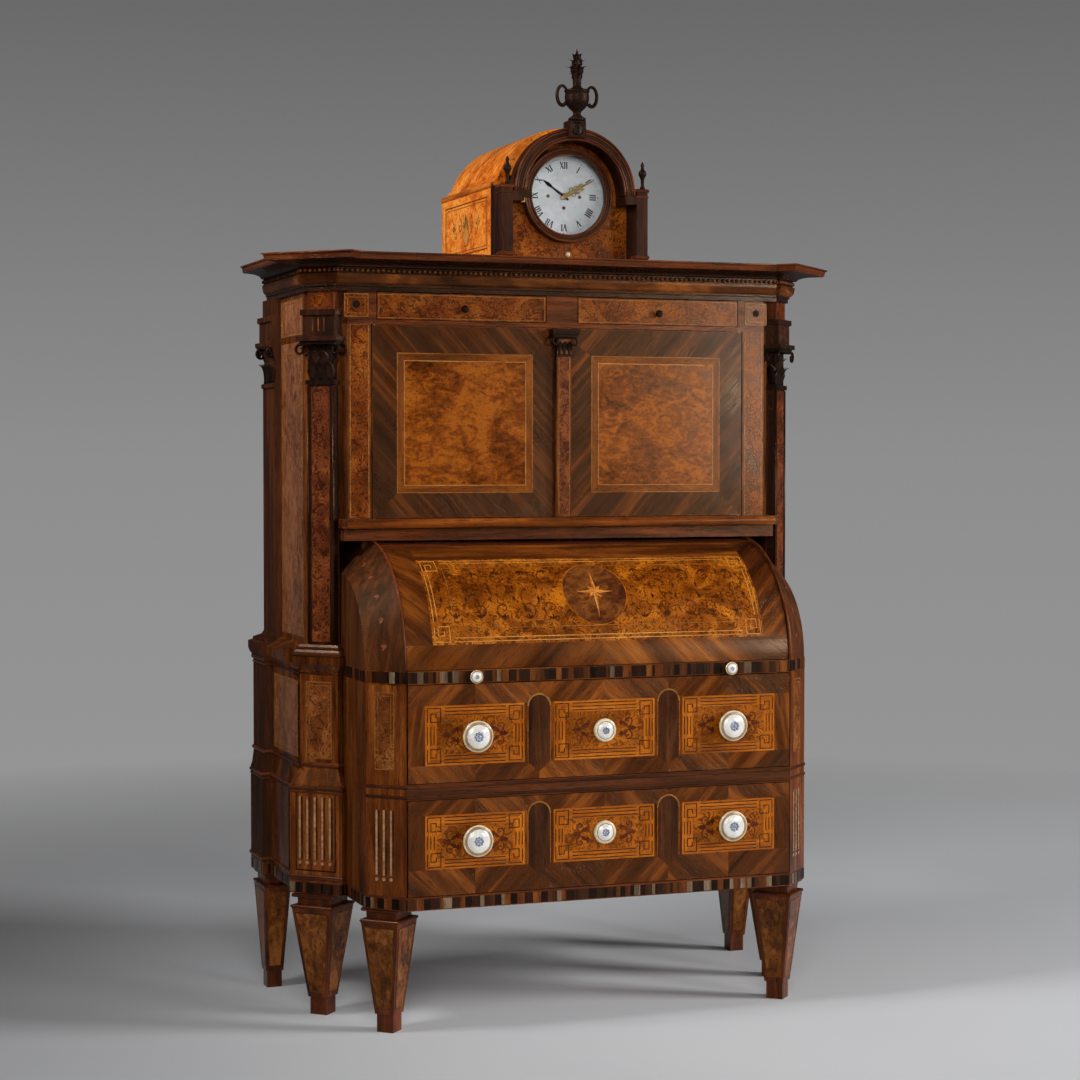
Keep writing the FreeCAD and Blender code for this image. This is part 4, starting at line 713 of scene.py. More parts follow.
def burl(name, tones, source, size, polish=0.28):
    """Burr wood: swirling figure with eyes, cloudy patches and dark flecks."""
    shader = Shader(name, source)
    swirl = shader.noise((size * 0.7, size * 1.3, size), detail=9.0, distortion=1.7)
    eyes = shader.cells(size * 3.1)
    cloud = shader.even_noise(size * 0.22, detail=2.0, distortion=1.0)
    figure = shader.weighed(shader.weighed(swirl, eyes, 0.18), cloud, 0.42)
    colour = shader.ramp(figure, list(zip(BURL_STOPS, map(tone, tones))))
    fleck = shader.even_noise(size * 7, detail=3.0, distortion=0.4)
    colour = shader.shaded(colour, shader.between(fleck, *FLECK_EDGE), FLECK_SHADE)
    rough = shader.between(cloud, *CLOUD, polish - 0.08, polish + 0.06)
    relief = shader.weighed(swirl, fleck, 0.5)
    return shader.done(colour, rough, relief, depth=0.0002, coat=THIN_COAT, **SHELLAC)


def arabesque(name, ground, line, source, size, polish=0.3):
    """Marquetry of curling lines and small leaves let into a figured ground."""
    shader = Shader(name, source)
    cloud = shader.even_noise(size * 0.4, detail=4.0, distortion=1.2)
    base = shader.ramp(cloud, list(zip(GROUND_STOPS, map(tone, ground))))
    swirl = shader.even_noise(size, detail=0.5, distortion=2.6)
    turns = shader.sums("FRACT", shader.sums("MULTIPLY", swirl, LINE_TURNS))
    offset = shader.sums("ABSOLUTE", shader.sums("SUBTRACT", turns, 0.5))
    lines = shader.between(offset, *LINE_EDGE, 1.0, 0.0)
    leaves = shader.between(shader.even_noise(size * 2.2, detail=2.0, distortion=1.5), *LEAF_EDGE)
    pattern = shader.sums("MAXIMUM", lines, leaves)
    colour = shader.mixed(shader.sums("MULTIPLY", pattern, LINE_SHARE), base, tone(line))
    rough = shader.between(cloud, *CLOUD, polish - 0.1, polish + 0.04)
    return shader.done(colour, rough, pattern, depth=0.00015, coat=THIN_COAT, **SHELLAC)


def glaze(name, low, high, rough, metallic, size=60.0, coat=0.3):
    """A hard finish with a faint cloud in its colour: ceramic, enamel, brass or steel."""
    shader = Shader(name, "Object")
    cloud = shader.even_noise(size, detail=4.0, distortion=0.5)
    colour = shader.ramp(cloud, [(0.35, tone(low)), (0.65, tone(high))])
    wear = shader.even_noise(size * 6, detail=3.0)
    roughness = shader.between(wear, *CLOUD, rough, rough + 0.12)
    return shader.done(colour, roughness, wear, depth=0.00008, coat=coat, Metallic=metallic)


def clear_glass(name):
    """Old window glass: clear, with a faint ripple."""
    shader = Shader(name, "Object")
    ripple = shader.even_noise(30.0, detail=2.0)
    rough = shader.between(ripple, *CLOUD, 0.0, 0.04)
    colour = shader.ramp(ripple, list(zip(CLOUD, (GLASS_TINT, WHITE))))
    return shader.done(colour, rough, ripple, depth=0.0001, Transmission_Weight=1.0, IOR=1.12)


def pale_ground(name):
    """The studio floor: pale, faintly clouded, fading out far from the object."""
    shader = Shader(name, "Object")
    cloud = shader.even_noise(0.8, detail=3.0)
    colour = shader.ramp(cloud, list(zip(CLOUD, FLOOR_TONES)))
    rough = shader.between(cloud, *CLOUD, 0.42, 0.5)
    material = shader.done(colour, rough, cloud, depth=0.0002, Specular_IOR_Level=0.25)
    distance = shader.put("ShaderNodeVectorMath", {0: shader.source}, operation="LENGTH").outputs["Value"]
    fade = shader.between(distance, *FLOOR_FADE, 1.0, 0.0)
    shader.tree.links.new(fade, shader.surface.inputs["Alpha"])
    return material


def materials():
    """Makes every finish, by name."""
    made = {name: wood(name, tones, **options) for name, (tones, options) in WOODS.items()}
    for recipe, table in ((burl, BURLS), (arabesque, MARQUETRY), (glaze, GLAZES)):
        made.update({name: recipe(name, *values) for name, values in table.items()})
    return SimpleNamespace(**made, glass=clear_glass("glass"))


M = materials()


def polar(place, reach, angle):
    """The place at a reach and an angle from another one."""
    return (place[0] + reach * math.cos(angle), place[1] + reach * math.sin(angle))


def arc(middle, reach, steps, start=0.0, sweep=math.tau):
    """Places round an ellipse; a whole turn doesn't repeat its first place."""
    count = steps if sweep == math.tau else steps + 1
    angles = [start + sweep * step / steps for step in range(count)]
    return [(middle[0] + reach[0] * math.cos(angle), middle[1] + reach[1] * math.sin(angle))
            for angle in angles]


def row(count, gap, middle=0.0):
    """Even places on both sides of a middle."""
    return [middle + (step - (count - 1) / 2) * gap for step in range(count)]


def corners(area):
    """The corners of an area (s0, t0, s1, t1)."""
    s0, t0, s1, t1 = area
    return [(s0, t0), (s1, t0), (s1, t1), (s0, t1)]


def inset(area, across, up=None):
    """An area made smaller all round, or by one width at the sides and another below and above."""
    s0, t0, s1, t1 = area
    up = across if up is None else up
    return (s0 + across, t0 + up, s1 - across, t1 - up)


def sided(sign, s0, t0, s1, t1):
    """An area of the right-hand side, or its mirror image."""
    near, far = sorted((sign * s0, sign * s1))
    return (near, t0, far, t1)


def spokes(side, other, count):
    """Angles round a circle, each with its direction."""
    angles = [math.tau * step / count for step in range(count)]
    return [(angle, side * math.cos(angle) + other * math.sin(angle)) for angle in angles]


def half_round(out, z0, z1, steps=6, sunk=SUNK):
    """The profile of a round bar that is let into the face behind it."""
    curve = arc((0, (z0 + z1) / 2), (out, (z1 - z0) / 2), steps, -RIGHT_ANGLE, math.pi)
    return [(sunk, z0)] + curve + [(sunk, z1)]


def crossings(outline, level):
    """Where the edges of an outline pass a level."""
    places = []
    for (s0, t0), (s1, t1) in zip(outline, outline[1:] + outline[:1]):
        if not min(t0, t1) - TINY <= level <= max(t0, t1) + TINY:
            continue
        if abs(t1 - t0) < TINY:
            places += [s0, s1]
        else:
            places.append(s0 + (s1 - s0) * ((level - t0) / (t1 - t0)))
    return places


def sliced(outline):
    """Cuts a convex outline into rows of a left and a right place, close enough for the curve."""
    heights = [t for s, t in outline]
    low, high = min(heights), max(heights)
    steps = max(2, math.ceil((high - low) / ROLL_STEP))
    levels = sorted({low + (high - low) * step / steps for step in range(steps + 1)} | set(heights))
    rows = []
    for level in levels:
        places = crossings(outline, level)
        left, right = min(places), max(places)
        if right - left < LEAST:
            left, right = left - LEAST, right + LEAST
        rows.append(((left, level), (right, level)))
    return rows


def divided(path, closed):
    """Adds places along a path so that it bends with the cylinder."""
    ends = path[1:] + (path[:1] if closed else [])
    dense = []
    for (s0, t0), (s1, t1) in zip(path, ends):
        steps = max(1, math.ceil(abs(t1 - t0) / ROLL_STEP))
        dense += [(s0 + (s1 - s0) * step / steps, t0 + (t1 - t0) * step / steps) for step in range(steps)]
    return dense if closed else dense + [path[-1]]


def mitred(path, width, closed):
    """The left and the right place of a line of even width, at each place of a path."""
    points = [Vector(place) for place in path]
    count = len(points)
    rows = []
    for place, here in enumerate(points):
        first = not closed and place == 0
        last = not closed and place == count - 1
        back = None if first else (here - points[place - 1]).normalized()
        ahead = back if last else (points[(place + 1) % count] - here).normalized()
        back = ahead if first else back
        along = (back + ahead).normalized()
        across = Vector((-along.y, along.x)) * (width / 2 / max(MITRE_LEAST, along.dot(ahead)))
        rows.append((tuple(here + across), tuple(here - across)))
    return rows


def box(node):
    """A node's limits at rest, and its front as an area."""
    low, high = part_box(node)
    return SimpleNamespace(x0=low.x, x1=high.x, y0=low.y, y1=high.y, z0=low.z, z1=high.z,
                           front=(low.x, low.z, high.x, high.z))


def joint_place(name):
    """Where a joint's axis passes at rest."""
    return Vector(next(joint for joint in frame["joints"] if joint["name"] == name)["pos_m"])


class Face:
    """A flat face of the frame: s runs to the right on it, t upward, h out of it."""
    curved = False

    def __init__(self, origin, right, up=UP):
        self.origin = Vector(origin)
        self.right = Vector(right).normalized()
        self.up = Vector(up).normalized()
        self.out = self.right.cross(self.up)

    def point(self, s, t, h):
        return self.origin + self.right * s + self.up * t + self.out * h


class Roll:
    """The outside of the cylinder: s is the place along it, t the length of arc above its lower edge."""
    curved = True

    def __init__(self):
        axis = joint_place("cylinder_turn")
        self.centre = Vector((0, axis.y, axis.z))

    def point(self, s, t, h):
        angle = t / ROLL_RADIUS
        reach = ROLL_RADIUS + h
        return self.centre + Vector((s, -reach * math.cos(angle), reach * math.sin(angle)))


class CheekCant:
    """The canted round of a cheek: s runs down its slope to the front, t round it from the desk upward."""
    curved = True

    def __init__(self, side):
        self.side = SIDES[side]
        self.axis = joint_place("cylinder_turn")
        self.edge = box("cheek_right").x1
        self.radius = box("cheek_right").z1 - self.axis.z

    def point(self, s, t, h):
        run, rise = s / ROOT_TWO, h / ROOT_TWO
        angle = t / (self.radius - CANT / 2)
        reach = self.radius - CANT + run + rise
        x = self.side * (self.edge - run + rise)
        return Vector((x, self.axis.y - reach * math.cos(angle), self.axis.z + reach * math.sin(angle)))


class Piece:
    """One object, put together from closed solids on faces of the frame."""

    def __init__(self, name, face=None):
        self.name = name
        self.face = face
        self.mesh = bmesh.new()
        self.uv = self.mesh.loops.layers.uv.new("UVMap")
        self.materials = []

    def cut(self, grain=0.0):
        """How a fresh sheet of veneer lies: turned by the grain, from its own place in the log."""
        turn = math.radians(grain)
        across, up = CHANCE.uniform(0, LOG), CHANCE.uniform(0, LOG)
        cosine, sine = math.cos(turn), math.sin(turn)
        return lambda s, t: (s * cosine + t * sine + across, t * cosine - s * sine + up)

    def skin(self, places, cut, material, smooth=False):
        """Adds one polygon of (vertex, s, t); cut turns its place into the veneer's own grain."""
        if material not in self.materials:
            self.materials.append(material)
        polygon = self.mesh.faces.new([vertex for vertex, s, t in places])
        polygon.material_index = self.materials.index(material)
        polygon.smooth = smooth
        for loop, (vertex, s, t) in zip(polygon.loops, places):
            loop[self.uv].uv = cut(s, t)

    def ring(self, places):
        """Makes vertices of (point in space, s, t)."""
        return [(self.mesh.verts.new(point), s, t) for point, s, t in places]

    def on_face(self, places, h):
        """Makes vertices at places of the face, at a height over it."""
        return self.ring([(self.face.point(s, t, h), s, t) for s, t in places])

    def span(self, rings, cut, material, smooth=False, joined=False, capped=True):
        """Closes a run of rings into one solid; material may be one for each ring."""
        bands = material if isinstance(material, list) else [material] * len(rings)
        count = len(rings[0])
        for low, high, band in zip(rings, rings[1:] + (rings[:1] if joined else []), bands):
            for step in range(count):
                far = (step + 1) % count
                self.skin([low[step], low[far], high[far], high[step]], cut, band, smooth)
        if capped and not joined:
            self.skin(rings[0][::-1], cut, bands[0])
            self.skin(rings[-1], cut, bands[-1])

    def bar(self, rows, low, high, cut, material, joined=False):
        """Closes a run of (left, right) places, each on the top and on the underside, into one solid."""
        rings = [self.on_face((left, right), high) + self.on_face((right, left), low) for left, right in rows]
        self.span(rings, cut, material, joined=joined)

    def slab(self, outline, high, material, grain=0.0, low=SUNK):
        """A flat sheet over a convex outline, rolled where the face is curved."""
        cut = self.cut(grain)
        if self.face.curved:
            self.bar(sliced(outline), low, high, cut, material)
            return
        top, under = self.on_face(outline, high), self.on_face(outline, low)
        self.skin(top, cut, material)
        self.skin(under[::-1], cut, material)
        thick = high - low
        for near, (s0, t0) in enumerate(outline):
            far = (near + 1) % len(outline)
            s1, t1 = outline[far]
            s, t = (thick, 0.0) if abs(t1 - t0) > abs(s1 - s0) else (0.0, thick)
            low_near, low_far = (under[near][0], s0 + s, t0 + t), (under[far][0], s1 + s, t1 + t)
            self.skin([top[far], top[near], low_near, low_far], cut, material)

    def plate(self, area, material, grain=0.0, high=VENEER):
        self.slab(corners(area), high, material, grain)

    def block(self, half, t0, t1, high, material, grain=90, low=0.0):
        """A block on both sides of the middle of the face."""
        self.slab(corners((-half, t0, half, t1)), high, material, grain, low)

    def disc(self, place, radius, high, material, count=24):
        self.slab(arc(place, (radius, radius), count), high, material)

    def border(self, outer, inner, material, grains):
        """A mitred frame between two areas: bottom, right, top and left in their grains."""
        edge, hole = corners(outer), corners(inner)
        for side, grain in enumerate(grains):
            far = (side + 1) % len(edge)
            self.slab([edge[side], edge[far], hole[far], hole[side]], VENEER, material, grain)

    def string(self, path, width, material, high=STRING_TOP, closed=False):
        """An inlaid line of even width along a path, mitred at its corners."""
        if self.face.curved:
            path = divided(path, closed)
        self.bar(mitred(path, width, closed), SUNK, high, self.cut(), material, closed)

    def ring_line(self, area, width, material=M.string, high=STRING_TOP):
        self.string(corners(area), width, material, high, True)

    def side_lines(self, area, width, material):
        """A line up each side of an area."""
        s0, t0, s1, t1 = area
        for s in (s0, s1):
            self.string([(s, t0), (s, t1)], width, material)

    def lathe(self, profile, centre, axis, material, segments=32, joined=False):
        """Turns a profile of (radius, height along the axis); material may be one for each step of it."""
        axis = Vector(axis).normalized()
        side = axis.orthogonal().normalized()
        fan = spokes(side, axis.cross(side), segments)
        rings = []
        for radius, height in profile:
            middle, reach = Vector(centre) + axis * height, max(radius, LEAST)
            places = [(middle + spoke * reach, angle * radius, height) for angle, spoke in fan]
            rings.append(self.ring(places))
        self.span(rings, self.cut(), material, True, joined)

    def hoop(self, radius, thick, centre, material):
        """A round ring that faces forward."""
        self.lathe(arc((radius, 0), (thick, thick), 8), centre, FORWARD, material, 64, True)

    def bead(self, centre, radius, material):
        self.lathe(arc((0, 0), (radius, radius), 6, -RIGHT_ANGLE, math.pi), centre, UP, material, 8)

    def tube(self, path, radii, material, segments=10):
        """A round bar along a path in space, of one radius or of its own at each place."""
        points = [Vector(place) for place in path]
        radii = radii if isinstance(radii, list) else [radii] * len(points)
        side = None
        run = 0.0
        rings = []
        for before, point, after, radius in zip(points[:1] + points, points, points[1:] + points[-1:], radii):
            along = (after - before).normalized()
            side = along.orthogonal() if side is None else side - along * side.dot(along)
            side.normalize()
            run += (point - before).length
            fan = spokes(side, along.cross(side), segments)
            rings.append(self.ring([(point + spoke * radius, run, angle * radius) for angle, spoke in fan]))
        self.span(rings, self.cut(), material, True)

    def moulding(self, plan, profile, material):
        """A bar of one closed profile of (out, height) along a plan path, mitred at its corners."""
        places = [Vector(place) for place in plan]
        closed = places[0] == places[-1]
        alongs = [(second - first).normalized() for first, second in zip(places, places[1:])]
        normals = [Vector((along.y, -along.x)) for along in alongs]
        befores = [normals[-1] if closed else normals[0]] + normals
        afters = normals + [normals[0] if closed else normals[-1]]
        run = 0.0
        rings = []
        for last, place, before, after in zip(places[:1] + places, places, befores, afters):
            mitre = (before + after) / (1 + before.dot(after))
            run += (place - last).length
            section = [((place.x + mitre.x * out, place.y + mitre.y * out, z), run, z + out)
                       for out, z in profile]
            rings.append(self.ring(section))
        self.span(rings, self.cut(), material, capped=not closed)

    def build(self, body, slot, *nodes):
        """Makes the object, sets its normals outward and fastens it to its body."""
        bmesh.ops.recalc_face_normals(self.mesh, faces=self.mesh.faces)
        data = bpy.data.meshes.new(self.name)
        self.mesh.to_mesh(data)
        self.mesh.free()
        for material in self.materials:
            data.materials.append(material)
        item = bpy.data.objects.new(self.name, data)
        bpy.context.scene.collection.objects.link(item)
        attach(item, body)
        if nodes:
            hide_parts(*nodes)


def front_at(y):
    """A plane that looks forward."""
    return Face((0, y, 0), (1, 0, 0))


def front_face(node):
    return front_at(box(node).y0)


def side_face(side, x):
    """An upright face that looks to the left or the right; s is the depth, counted to its own right."""
    return Face((x, 0, 0), (0, SIDES[side], 0))


def diagonal_face(side, x, y):
    """An upright face that looks out diagonally at a front corner, with s 0 at the given place."""
    return Face((SIDES[side] * x, y, 0), (1, SIDES[side], 0))


def wing_half():
    """Half the width of the cabinet over its side boards."""
    return box("back_panel").x1 + BOARD


def wing_face(side, out):
    """The diagonal face of a wing, or of a block that stands out from it."""
    step = WING_CUT / 2 - out / ROOT_TWO
    return diagonal_face(side, wing_half() - step, box("door_left").y0 + step)


def cant_face(side):
    """The diagonal face of the desk's corner."""
    return diagonal_face(side, box("corner_post_right").x1 - CANT / 2, box("drawer_rail").y0 + CANT / 2)


def desk_corner():
    """The desk's plan from the front end of its cant back to the pedestal."""
    edge = box("corner_post_right").x1
    front = box("drawer_rail").y0
    return [(edge - CANT, front), (edge, front + CANT), pedestal_plan(LOW_BLOCK)[0]]


def pedestal_plan(block):
    """A pedestal block's plan from the desk side round its diagonal face to the wing."""
    out, width = block
    face = wing_face("right", 0.0)
    edge = box("desk_side_right").x1
    near, far = [face.point(s, 0, out) for s in (-width / 2, width / 2)]
    side = wing_half() + (LOW_SWELL if block == LOW_BLOCK else BASE_SWELL)
    return [(edge, near.y + near.x - edge), (near.x, near.y), (far.x, far.y), (side, far.y + far.x - side)]


def rear_plan(side, edge):
    """The plan along the wing's side and round the rear pilaster."""
    rear = box("rear_pilaster_right")
    return [(side, rear.y0), (edge, rear.y0), (edge, rear.y1)]


def low_rear_plan():
    return rear_plan(wing_half() + LOW_SWELL, box("plinth").x1)


def mirrored(plan):
    """A plan path of the right half, from front to back, and its mirror image, in order round the object."""
    return {"left": [(-x, y) for x, y in reversed(plan)], "right": plan}


def paint(material, *nodes):
    """Gives CAD nodes a finish."""
    for node in nodes:
        slots = frame["nodes"][node].data.materials
        slots.clear()
        slots.append(material)


def pair(name):
    return [f"{name}_{side}" for side in SIDES]


def key_frame(piece, area, material, pitch=KEY_PITCH, lines=3):
    """A frame of parallel lines with a square meander in each corner."""
    s0, t0, s1, t1 = area
    gap = pitch * KEY_REACH
    for line in range(lines):
        step = line * pitch
        for t in (t0 + step, t1 - step):
            piece.string([(s0 + gap, t), (s1 - gap, t)], KEY_LINE, material)
        for s in (s0 + step, s1 - step):
            piece.string([(s, t0 + gap), (s, t1 - gap)], KEY_LINE, material)
    for s, turn_s in ((s0, pitch), (s1, -pitch)):
        for t, turn_t in ((t0, pitch), (t1, -pitch)):
            for steps in (KEY_STEPS, KEY_SIDE):
                path = [(s + turn_s * across, t + turn_t * up) for across, up in steps]
                piece.string(path, KEY_LINE, material)


def curl(piece, place, size, turn, start, material, width, high=INLAY):
    """A scroll that winds inward; gives back its outer end."""
    path = [polar(place, size * math.exp(-CURL_CLOSE * step), start + turn * step * CURL_TURN)
            for step in range(CURL_STEPS)]
    piece.string(path, width, material, high)
    return path[0]


def leaf(piece, place, length, angle, material, fat=0.34, high=INLAY):
    """A pointed leaf, from its stalk outward."""
    cosine, sine = math.cos(angle), math.sin(angle)
    outline = []
    for long, wide in LEAF:
        along, across = long * length, wide * length * fat / 2
        outline.append((place[0] + along * cosine - across * sine, place[1] + along * sine + across * cosine))
    piece.slab(outline, high, material)


def flutes(piece, middle, ends, count, gap):
    """Inlaid false flutes: pale lines beside dark ones, with a bright tip at each foot."""
    low, high = ends
    for place in row(count, gap, middle):
        for s, top, material in ((place, INLAY, M.flute), (place + FLUTE_WIDTH, VENEER, M.divider)):
            piece.string([(s, low + FLUTE_FOOT), (s, high)], FLUTE_WIDTH, material, top)
        piece.disc((place, low + FLUTE_TIP), FLUTE_DOT, STRING_TOP, M.flute, 12)


def framed(piece, area, material):
    """A veneered panel with a string round it."""
    piece.plate(area, material, 90)
    piece.ring_line(area, LIGHT)
    piece.ring_line(inset(area, PANEL_LINE), HAIR)


def blade(piece, foot, across, up, out, size, material):
    """A carved leaf: it rises, swells, narrows to a tip and curls forward."""
    width, height, lean = size
    across, up, out = Vector(across), Vector(up), Vector(out)
    ridge = out * (width * BLADE_RIDGE)
    rings = []
    for step in range(BLADE_STEPS + 1):
        share = step / BLADE_STEPS
        swell = BLADE_FOOT + BLADE_SWELL * math.sin(math.pi * min(1, share * BLADE_RISE + BLADE_START))
        lobe = 1 + BLADE_NOTCH * math.cos(share * math.pi * BLADE_LOBES)
        half = width / 2 * swell * (1 - share ** 4 * BLADE_TIP) * lobe
        middle = Vector(foot) + up * (height * (share - BLADE_BOW * share ** 4)) + out * (lean * share ** 3)
        section = [middle + across * half * wide + ridge * high for wide, high in BLADE_SECTION]
        section.append(middle - out * width * BLADE_BACK)
        rings.append(piece.ring([(place, place.x + place.y, share * height) for place in section]))
    piece.span(rings, piece.cut(90), material, True)


def face_blade(piece, face, s, t, h, size, material):
    """A carved leaf that stands up on a face."""
    blade(piece, face.point(s, t, h), face.right, face.up, face.out, size, material)


def hook(piece, face, s, t, h, way, size):
    """A slender volute that leaves the capital outward and curls under."""
    path = [face.point(s - way * size * back, t, h * share) for back, share in HOOK_STALK]
    for step in range(HOOK_STEPS):
        reach = size * (HOOK_EYE - HOOK_CLOSE * step)
        across, rise = polar((0, -size * HOOK_EYE), reach, RIGHT_ANGLE - step * HOOK_TURN)
        path.append(face.point(s + way * across, t + rise, h))
    taper = [size * (HOOK_THICK - HOOK_THIN * step) for step in range(HOOK_STEPS)]
    piece.tube(path, [size * HOOK_THICK] * len(HOOK_STALK) + taper, M.ebony, 8)


def lay_floor():
    """A pale round floor."""
    ground = bpy.data.meshes.new("floor")
    ring = [(x, y, 0) for x, y in arc((0, 0), (FLOOR_REACH, FLOOR_REACH), FLOOR_CORNERS)]
    ground.from_pydata(ring, [], [list(range(FLOOR_CORNERS))])
    floor = bpy.data.objects.new("floor", ground)
    floor.data.materials.append(pale_ground("studio_floor"))
    bpy.context.scene.collection.objects.link(floor)


def hang_backdrop():
    """A grey background that darkens upward, and lights the object only a little."""
    world = bpy.data.worlds.new("studio")
    bpy.context.scene.world = world
    world.use_nodes = True
    nodes = Nodes(world.node_tree)
    direction = nodes.put("ShaderNodeTexCoord", {}).outputs["Generated"]
    height = nodes.put("ShaderNodeSeparateXYZ", {0: direction}).outputs["Z"]
    stops = [(place, (grey, grey, grey * BACKDROP_BLUE, 1)) for place, grey in BACKDROP]
    colour = nodes.ramp(nodes.between(height, -BACKDROP_REACH, BACKDROP_REACH), stops)
    seen = nodes.put("ShaderNodeLightPath", {}).outputs["Is Camera Ray"]
    strength = nodes.between(seen, 0.0, 1.0, AMBIENT_SHARE)
    background = nodes.tree.nodes["Background"]
    nodes.tree.links.new(colour, background.inputs["Color"])
    nodes.tree.links.new(strength, background.inputs["Strength"])


def set_lamps():
    for name, place, aim, width, power, spread in LAMPS:
        lamp = bpy.data.lights.new(name, "AREA")
        lamp.size = width
        lamp.energy = power
        lamp.spread = math.radians(spread)
        item = bpy.data.objects.new(name, lamp)
        item.location = place
        item.rotation_euler = (Vector(aim) - Vector(place)).to_track_quat("-Z", "Y").to_euler()
        bpy.context.scene.collection.objects.link(item)


def set_camera():
    camera = bpy.data.objects.new("camera", bpy.data.cameras.new("camera"))
    camera.data.sensor_width = SENSOR
    camera.data.lens = FOCAL_PIXELS * SENSOR / PHOTO_PIXELS
    camera.location = CAMERA_PLACE
    camera.rotation_euler = (math.radians(90 + CAMERA_TILT), 0, math.radians(-CAMERA_TURN))
    bpy.context.scene.collection.objects.link(camera)
    bpy.context.scene.camera = camera
    bpy.context.scene.view_settings.view_transform = "Standard"


def stage():
    """Floor, background, light and the camera."""
    lay_floor()
    hang_backdrop()
    set_lamps()
    set_camera()


def dress_nodes():
    """The finish of each CAD node."""
    paint(M.red_z, *pair("leg_front"), *pair("leg_middle"), *pair("leg_rear"))
    paint(M.red_x, "cylinder_shell", "desk_shelf", "cornice", "frieze_blocks", "plinth", "cabinet_ceiling")
    paint(M.walnut_z, *pair("desk_side"), *pair("corner_post"), *pair("rear_pilaster"), *pair("wing"))
    paint(M.walnut_z, *pair("pedestal"), *pair("front_stile"), *pair("door"), "door_strip")
    paint(M.walnut_x, "writing_slide", "upper_drawer_front", "lower_drawer_front", *pair("frieze_drawer"))
    paint(M.cheek_z, *pair("cheek"))
    paint(M.rail_x, "drawer_rail")
    paint(M.dark_z, *pair("pilaster"), "clock_hood", "clock_finials")
    paint(M.dark_x, "bezel")
    paint(M.ebony_x, *pair("frieze_knob"))
    paint(M.pine_y, "upper_drawer_box", "lower_drawer_box", "cabinet_shelf")
    paint(M.pine_x, "pigeonholes")
    paint(M.pine_z, "back_panel")
    paint(M.bright_board, "clock_case", "clock_roof")
    # the clock panel's darker marquetry is painted shade under the hood's arch
    paint(M.scroll_board, "clock_panel")
    paint(M.enamel, "dial")
    paint(M.brass, "clock_movement", "pendulum", "pivot_pins")
    paint(M.steel, "hour_hand")
    paint(M.gilt_hand, "minute_hand")
    paint(M.glass, "bezel_glass")
    paint(M.ceramic, "upper_drawer_knobs", "lower_drawer_knobs", "slide_knobs")


def foliage(piece, s, t, turn):
    """A pair of scrolls with leaves, beside a knob."""
    out, rise, size = FOLIAGE_CURL
    tip, lean = FOLIAGE_TIP
    back, side_rise, side = FOLIAGE_SIDE
    start, length = FOLIAGE_END
    for up in BOTH:
        upward = RIGHT_ANGLE * up
        end = curl(piece, (s + turn * out, t + up * rise), size, turn * up, -upward, M.motif, BOLD)
        leaf(piece, end, tip, upward + turn * up * lean, M.motif, FOLIAGE_FAT)
        leaf(piece, (s - turn * back, t + up * side_rise), side, upward, M.motif, FOLIAGE_FAT)
    leaf(piece, (s + turn * start, t), length, 0.0 if turn > 0 else math.pi, M.motif, FOLIAGE_FAT)


def drawer_panel(piece, area):
    """A marquetry field in a pale border with meanders, and foliage beside the knob."""
    s0, t0, s1, t1 = area
    field = inset(area, *PANEL_BORDER)
    piece.border(area, field, M.key_ground, FRAME_GRAINS)
    piece.plate(field, M.panel_scroll)
    key_frame(piece, inset(area, KEY_INSET), M.rosewood)
    for turn in BOTH:
        foliage(piece, (s0 + s1) / 2 + turn * FOLIAGE_REACH, (t0 + t1) / 2, turn)


def divider(piece, s, low, high):
    """A dark band between two panels, pointed below and round above, with pale lines."""
    left, right = (s - DIVIDER_HALF, low), (s + DIVIDER_HALF, low)
    arch = arc((s, high - DIVIDER_SPRING), (DIVIDER_HALF, DIVIDER_HALF), 10, 0.0, math.pi)
    piece.slab([left, (s, low - DIVIDER_POINT), right] + arch, INLAY, M.divider, 90)
    piece.string([right] + arch + [left], HAIR, M.key_ground)
    piece.string(arch, DIVIDER_ARCH, M.string, DIVIDER_TOP)


def drawer_front(name, under, over):
    """Three framed panels with dark pointed bands between them, in a border of slanting veneer."""
    limits = box(f"{name}_front")
    piece = Piece(f"{name}_veneer", front_face(f"{name}_front"))
    low, high = limits.z0 + under, limits.z1 - over
    near, far = PANEL_SIDE
    split = (near + PANEL_HALF) / 2
    panels = [(-far, -near), (-PANEL_HALF, PANEL_HALF), (near, far)]
    edges = [limits.x0, -split, split, limits.x1]
    for (s0, s1), left, right in zip(panels, edges, edges[1:]):
        middle = (s0 + s1) / 2
        for start, end, slant in ((left, middle, SLANT), (middle, right, -SLANT)):
            piece.plate((start, limits.z0, end, low), M.crossband, -slant)
            piece.plate((start, high, end, limits.z1), M.crossband, slant)
        piece.plate((left, low, s0, high), M.crossband, STEEP)
        piece.plate((s1, low, right, high), M.crossband, 180 - STEEP)
        drawer_panel(piece, (s0, low, s1, high))
    for s in (-split, split):
        divider(piece, s, low, high)
    piece.build(name, "burl_veneer")


def drawers():
    for name, (under, over) in DRAWER_MARGINS.items():
        drawer_front(name, under, over)


def roll_star(piece, middle):
    """A star of eight points in two tones, in a dark oval."""
    oval = arc((0, middle), OVAL, 40)
    piece.slab(oval, INLAY, M.oval, OVAL_GRAIN)
    piece.string(oval, FINE, M.key_ground, closed=True)
    for spoke in range(8):
        angle = math.pi / 4 * spoke
        tip = polar((0, middle), STAR_REACHES[spoke % len(STAR_REACHES)], angle)
        for turn, material in ((-1, M.pale_string), (1, M.satin)):
            flank = polar((0, middle), STAR_WAIST, angle + turn * math.pi / 8)
            piece.slab([(0, middle), tip, flank], STAR_TOP, material)


